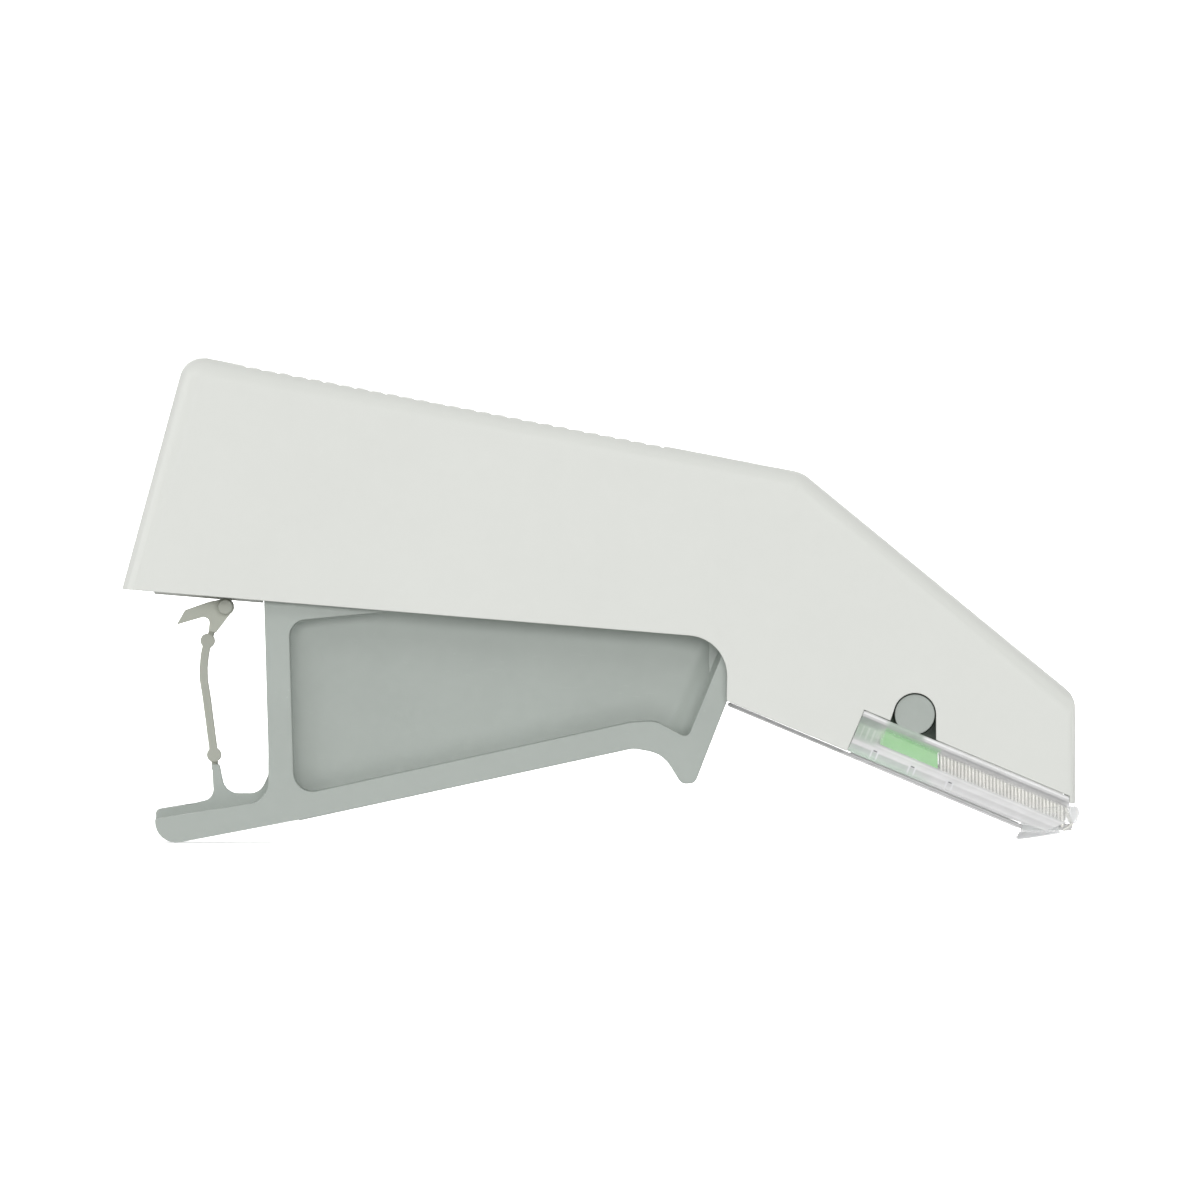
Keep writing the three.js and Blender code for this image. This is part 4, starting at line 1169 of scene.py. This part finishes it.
class STAPLER_OT_stage(bpy.types.Operator):
    """Make the white sweep, the soft lights, the surroundings and the camera"""

    bl_idname = "stapler.stage"
    bl_label = "Stage"

    def sweep(self, glow):
        """A white table that turns up into the wall behind it, in one sheet."""
        mesh = bmesh.new()
        front = [mesh.verts.new((x, TABLE_FRONT, 0)) for x in (-TABLE_HALF, TABLE_HALF)]
        edge = extrude_ring(mesh, [mesh.edges.new(front)], (0, TABLE_BACK - TABLE_FRONT, 0))
        made = bmesh.ops.spin(
            mesh,
            geom=edge,
            cent=(0, TABLE_BACK, TURN_RADIUS),
            axis=(1, 0, 0),
            dvec=(0, 0, 0),
            angle=math.pi / 2,
            steps=TURN_STEPS,
        )["geom_last"]
        extrude_ring(mesh, edges_of(made), (0, 0, WALL_HEIGHT))
        bmesh.ops.recalc_face_normals(mesh, faces=mesh.faces)
        data = bpy.data.meshes.new("sweep")
        mesh.to_mesh(data)
        mesh.free()
        data.shade_smooth()
        data.materials.append(table_white("stage_white", glow))
        floor = bpy.data.objects.new("sweep", data)
        bpy.context.scene.collection.objects.link(floor)
        floor.visible_diffuse = False
        floor.visible_shadow = False

    def light(self, name, power, size, place, target):
        """A soft oblong lamp, aimed at a point."""
        lamp = bpy.data.lights.new(name, "AREA")
        lamp.shape = "RECTANGLE"
        lamp.size, lamp.size_y = size
        lamp.energy = power
        holder = bpy.data.objects.new(name, lamp)
        holder.location = place
        aim = Vector(target) - Vector(place)
        holder.rotation_euler = aim.to_track_quat("-Z", "Y").to_euler()
        bpy.context.scene.collection.objects.link(holder)

    def surroundings(self, strength):
        """An even white world."""
        world = bpy.data.worlds.new("surroundings")
        world.use_nodes = True
        background = world.node_tree.nodes["Background"]
        background.inputs["Color"].default_value = (1.0, 1.0, 1.0, 1.0)
        background.inputs["Strength"].default_value = strength
        bpy.context.scene.world = world

    def camera(self, stage):
        """The camera, straight in front of the housing's near side."""
        lens = bpy.data.cameras.new("camera")
        lens.sensor_width = 36.0
        lens.lens = lens.sensor_width * stage.distance / stage.field
        lens.clip_start = 0.05
        lens.clip_end = 30.0
        eye = bpy.data.objects.new("camera", lens)
        near = CAD_BOX[0][1]
        eye.location = (EYE_X, near - stage.distance, stage.eye_height)
        eye.rotation_euler = (math.pi / 2, 0, 0)
        bpy.context.scene.collection.objects.link(eye)
        bpy.context.scene.camera = eye

    def execute(self, context):
        stage = context.scene.stapler_stage
        self.sweep(stage.glow)
        for name, setting, size, place, target in LAMPS:
            self.light(name, getattr(stage, setting), size, place, target)
        self.surroundings(stage.ambient)
        self.camera(stage)
        context.scene.view_settings.view_transform = "Standard"
        return {"FINISHED"}


class STAPLER_OT_housing(bpy.types.Operator):
    """Make both halves of the housing"""

    bl_idname = "stapler.housing"
    bl_label = "Housing"

    def execute(self, context):
        edge = context.scene.stapler_shape.shell_edge
        for side in ("right", "left"):
            dress("housing_" + side, "shell_" + side, "housing", "shell", edge)
        return {"FINISHED"}


class STAPLER_OT_lever(bpy.types.Operator):
    """Make the squeeze lever and its return spring"""

    bl_idname = "stapler.lever"
    bl_label = "Lever"

    def execute(self, context):
        dress("trigger", "lever", "trigger", "lever", context.scene.stapler_shape.lever_edge, 3)
        low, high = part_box("trigger_spring")
        wire = RETURN_SPRING["wire"] * MM
        mesh = coil_mesh(RETURN_SPRING, high.z - low.z - 2 * wire)
        bmesh.ops.translate(mesh, verts=mesh.verts, vec=(0, 0, low.z + wire))
        spring = make_piece("return_spring", mesh, "spring", smooth=60.0)
        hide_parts("trigger_spring")
        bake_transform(spring)
        return {"FINISHED"}


class STAPLER_OT_pawl(bpy.types.Operator):
    """Make the ratchet pawl: link, claw and cross pin"""

    bl_idname = "stapler.pawl"
    bl_label = "Pawl"

    def web(self, name, ends, below, above):
        """A waisted living hinge that joins two knuckled pieces."""
        half = bpy.context.scene.stapler_shape.web / 2
        start, end = (Vector((x, 0, z)) * MM for x, z in ends)
        step = (end - start) / len(WEB_WAIST)
        mesh = bmesh.new()
        ring = start_ring(mesh, half, WEB_SIDES, Matrix.Translation(start))
        close_ring(mesh, ring)
        for scale in WEB_WAIST:
            ring = extrude_ring(mesh, ring, step, scale)
        close_ring(mesh, ring)
        bmesh.ops.recalc_face_normals(mesh, faces=mesh.faces)
        piece = make_piece(name, mesh, "pawl", smooth=60.0)
        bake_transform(piece)

    def execute(self, context):
        edge = context.scene.stapler_shape.pawl_edge
        dress("pawl_link", "pawl_arm", "pawl_link", "pawl", edge)
        dress("pawl_hook", "pawl_claw", "pawl_hook", "claw", edge)
        dress("pawl_pin", "cross_pin", "pawl_hook", "pin", edge)
        self.web("lower_web", LOWER_WEB, "trigger", "pawl_link")
        self.web("upper_web", UPPER_WEB, "pawl_link", "pawl_hook")
        return {"FINISHED"}


class STAPLER_OT_magazine(bpy.types.Operator):
    """Make the clear magazine: rail, windows and the steel strip under them"""

    bl_idname = "stapler.magazine"
    bl_label = "Magazine"

    def clear(self, node, name, key):
        """A clear moulding, which lets the light through to what it covers."""
        edge = bpy.context.scene.stapler_shape.clear_edge
        piece = dress(node, name, "housing", key, edge)
        piece.visible_shadow = False
        piece.visible_diffuse = False

    def rounded(self, mesh, width):
        """Rounds every edge of a small bmesh."""
        bmesh.ops.bevel(
            mesh, geom=mesh.edges[:], offset=width, affect="EDGES", segments=2, profile=0.5, material=-1
        )

    def lips(self, name):
        """The strip's turned-up lips, which grip the clear floor on both sides."""
        mesh = bmesh.new()
        start, end = LIP_SPAN
        outline = ((start, LIP_LOW), (end, LIP_LOW), (end - LIP_SLOPE, LIP_TOP), (start + LIP_SLOPE, LIP_TOP))
        for side in (-1, 1):
            verts = [mesh.verts.new(rail(u, v) + Vector((0, side * LIP_SIDE * MM, 0))) for u, v in outline]
            lip = mesh.faces.new(verts)
            made = bmesh.ops.extrude_face_region(mesh, geom=[lip], use_keep_orig=True)["geom"]
            bmesh.ops.translate(mesh, verts=verts_of(made), vec=(0, -side * LIP_THICK * MM, 0))
        bmesh.ops.recalc_face_normals(mesh, faces=mesh.faces)
        self.rounded(mesh, LIP_EDGE * MM)
        piece = make_piece(name, mesh, "strip")
        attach(piece, "housing")

    def ticks(self, name, side):
        """Plain raised ticks on the rear end of a window."""
        mesh = bmesh.new()
        for index in range(TICK_COUNT):
            middle = rail((index + 1) * TICK_PITCH, TICK_V, side * TICK_SIDE)
            made = bmesh.ops.create_cube(mesh, size=1.0, matrix=Matrix.Translation(middle))
            about = Matrix.Translation(-middle)
            bmesh.ops.scale(mesh, verts=made["verts"], vec=TICK_SIZE * MM, space=about)
        self.rounded(mesh, TICK_EDGE * MM)
        piece = make_piece(name, mesh, "clear")
        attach(piece, "housing")

    def execute(self, context):
        shape = context.scene.stapler_shape
        self.clear("magazine_body", "magazine_rail", "clear")
        for side in ("right", "left"):
            self.clear("window_" + side, "side_window_" + side, "window")
            self.ticks("window_ticks_" + side, -1 if side == "right" else 1)
        dress("anvil_plate", "anvil_strip", "housing", "strip", shape.metal_edge)
        self.lips("strip_lips")
        dress("retainer_spring", "row_spring", "housing", "strip", shape.metal_edge)
        return {"FINISHED"}


class STAPLER_OT_staples(bpy.types.Operator):
    """Make the row of wire staples and the one in front of it"""

    bl_idname = "stapler.staples"
    bl_label = "Staples"

    def bent_staple(self, name, shape):
        """The staple over the anvil: one wire from point to point, its legs curled opposite ways."""
        side = (shape.staple_half - shape.wire / 2) / MM
        x, z = BENT_CROWN
        inner = side - CROWN_CORNER
        crown = [Vector((x, y, z)) for y in (-side, -inner, 0, inner, side)]
        near = [Vector((x, -side, z)) for x, z in NEAR_LEG]
        far = [Vector((x, side, z)) for x, z in reversed(FAR_LEG)]
        points = near + crown + far
        curve = bpy.data.curves.new(name, "CURVE")
        curve.dimensions = "3D"
        curve.bevel_depth = shape.wire / 2
        curve.bevel_resolution = 3
        curve.use_fill_caps = True
        spline = curve.splines.new("NURBS")
        spline.points.add(len(points) - 1)
        for knot, point in zip(spline.points, points):
            knot.co = (point * MM).to_4d()
        spline.order_u = 4
        spline.use_endpoint_u = True
        spline.resolution_u = 6
        holder = bpy.data.objects.new(name + "_wire", curve)
        mesh = bmesh.new()
        mesh.from_mesh(holder.to_mesh())
        holder.to_mesh_clear()
        bpy.data.objects.remove(holder)
        bpy.data.curves.remove(curve)
        bmesh.ops.remove_doubles(mesh, verts=mesh.verts, dist=0.001 * MM)
        bmesh.ops.recalc_face_normals(mesh, faces=mesh.faces)
        return make_piece(name, mesh, "bent_wire", smooth=60.0)

    def execute(self, context):
        shape = context.scene.stapler_shape
        row = bmesh.new()
        for index in range(STAPLE_COUNT):
            x = ROW_END_X - index * shape.staple_pitch / MM
            one = staple_mesh(shape)
            bmesh.ops.translate(one, verts=one.verts, vec=Vector((x, 0, crown_z(x))) * MM)
            data = bpy.data.meshes.new("staple")
            one.to_mesh(data)
            one.free()
            row.from_mesh(data)
            bpy.data.meshes.remove(data)
        piece = make_piece("staple_row", row, "wire", smooth=50.0)
        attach(piece, "housing")
        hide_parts("staple_strip")
        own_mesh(piece)
        first = self.bent_staple("first_staple", shape)
        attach(first, "housing")
        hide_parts("front_staple")
        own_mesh(first)
        return {"FINISHED"}


class STAPLER_OT_feed(bpy.types.Operator):
    """Make the green pusher, its spring, guide rod and stop"""

    bl_idname = "stapler.feed"
    bl_label = "Feed"

    def execute(self, context):
        shape = context.scene.stapler_shape
        dress("pusher", "row_pusher", "pusher", "pusher", shape.clear_edge)
        dress("spring_stop", "rear_stop", "housing", "carrier", shape.pawl_edge)
        dress("guide_rod", "feed_rod", "housing", "blade", shape.metal_edge)
        wire = FEED_SPRING["wire"] * MM
        start, stop = (rail(u, FEED_V) for u in FEED_SPAN)
        mesh = coil_mesh(FEED_SPRING, (FEED_SPAN[1] - FEED_SPAN[0]) * MM - 2 * wire)
        lay = Matrix.Rotation(math.pi / 2 + RAIL_ANGLE, 4, "Y")
        bmesh.ops.transform(mesh, matrix=lay, verts=mesh.verts)
        bmesh.ops.translate(mesh, verts=mesh.verts, vec=start + RAIL_AXIS * wire)
        spring = make_piece("feed_spring", mesh, "spring", smooth=60.0)
        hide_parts("pusher_spring")
        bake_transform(spring)
        return {"FINISHED"}


class STAPLER_OT_driver(bpy.types.Operator):
    """Make the steel driver blade and its carrier"""

    bl_idname = "stapler.driver"
    bl_label = "Driver"

    def execute(self, context):
        shape = context.scene.stapler_shape
        dress("driver_blade", "blade", "driver", "blade", shape.metal_edge)
        dress("driver_carrier", "blade_carrier", "driver", "carrier", shape.pawl_edge)
        return {"FINISHED"}


OPERATORS = (
    STAPLER_OT_stage,
    STAPLER_OT_housing,
    STAPLER_OT_lever,
    STAPLER_OT_pawl,
    STAPLER_OT_magazine,
    STAPLER_OT_staples,
    STAPLER_OT_feed,
    STAPLER_OT_driver,
)


class STAPLER_PT_panel(bpy.types.Panel):
    """Sizes, colours and pieces of the stapler"""

    bl_idname = "STAPLER_PT_panel"
    bl_label = "Skin stapler"
    bl_space_type = "VIEW_3D"
    bl_region_type = "UI"
    bl_category = "Stapler"

    def draw(self, context):
        for group in ("stapler_shape", "stapler_finish", "stapler_stage"):
            settings = getattr(context.scene, group)
            box = self.layout.box()
            for name in settings.__annotations__:
                box.prop(settings, name)
        for operator in OPERATORS:
            self.layout.operator(operator.bl_idname)


GROUPS = (
    ("stapler_shape", StaplerShape),
    ("stapler_finish", StaplerFinish),
    ("stapler_stage", StaplerStage),
)


def register():
    for name, group in GROUPS:
        bpy.utils.register_class(group)
        setattr(bpy.types.Scene, name, PointerProperty(type=group))
    for operator in OPERATORS:
        bpy.utils.register_class(operator)
    bpy.utils.register_class(STAPLER_PT_panel)


def unregister():
    bpy.utils.unregister_class(STAPLER_PT_panel)
    for operator in reversed(OPERATORS):
        bpy.utils.unregister_class(operator)
    for name, group in reversed(GROUPS):
        delattr(bpy.types.Scene, name)
        bpy.utils.unregister_class(group)


def main():
    register()
    for operator in OPERATORS:
        category, action = operator.bl_idname.split(".")
        getattr(getattr(bpy.ops, category), action)()


if __name__ == "__main__":
    main()
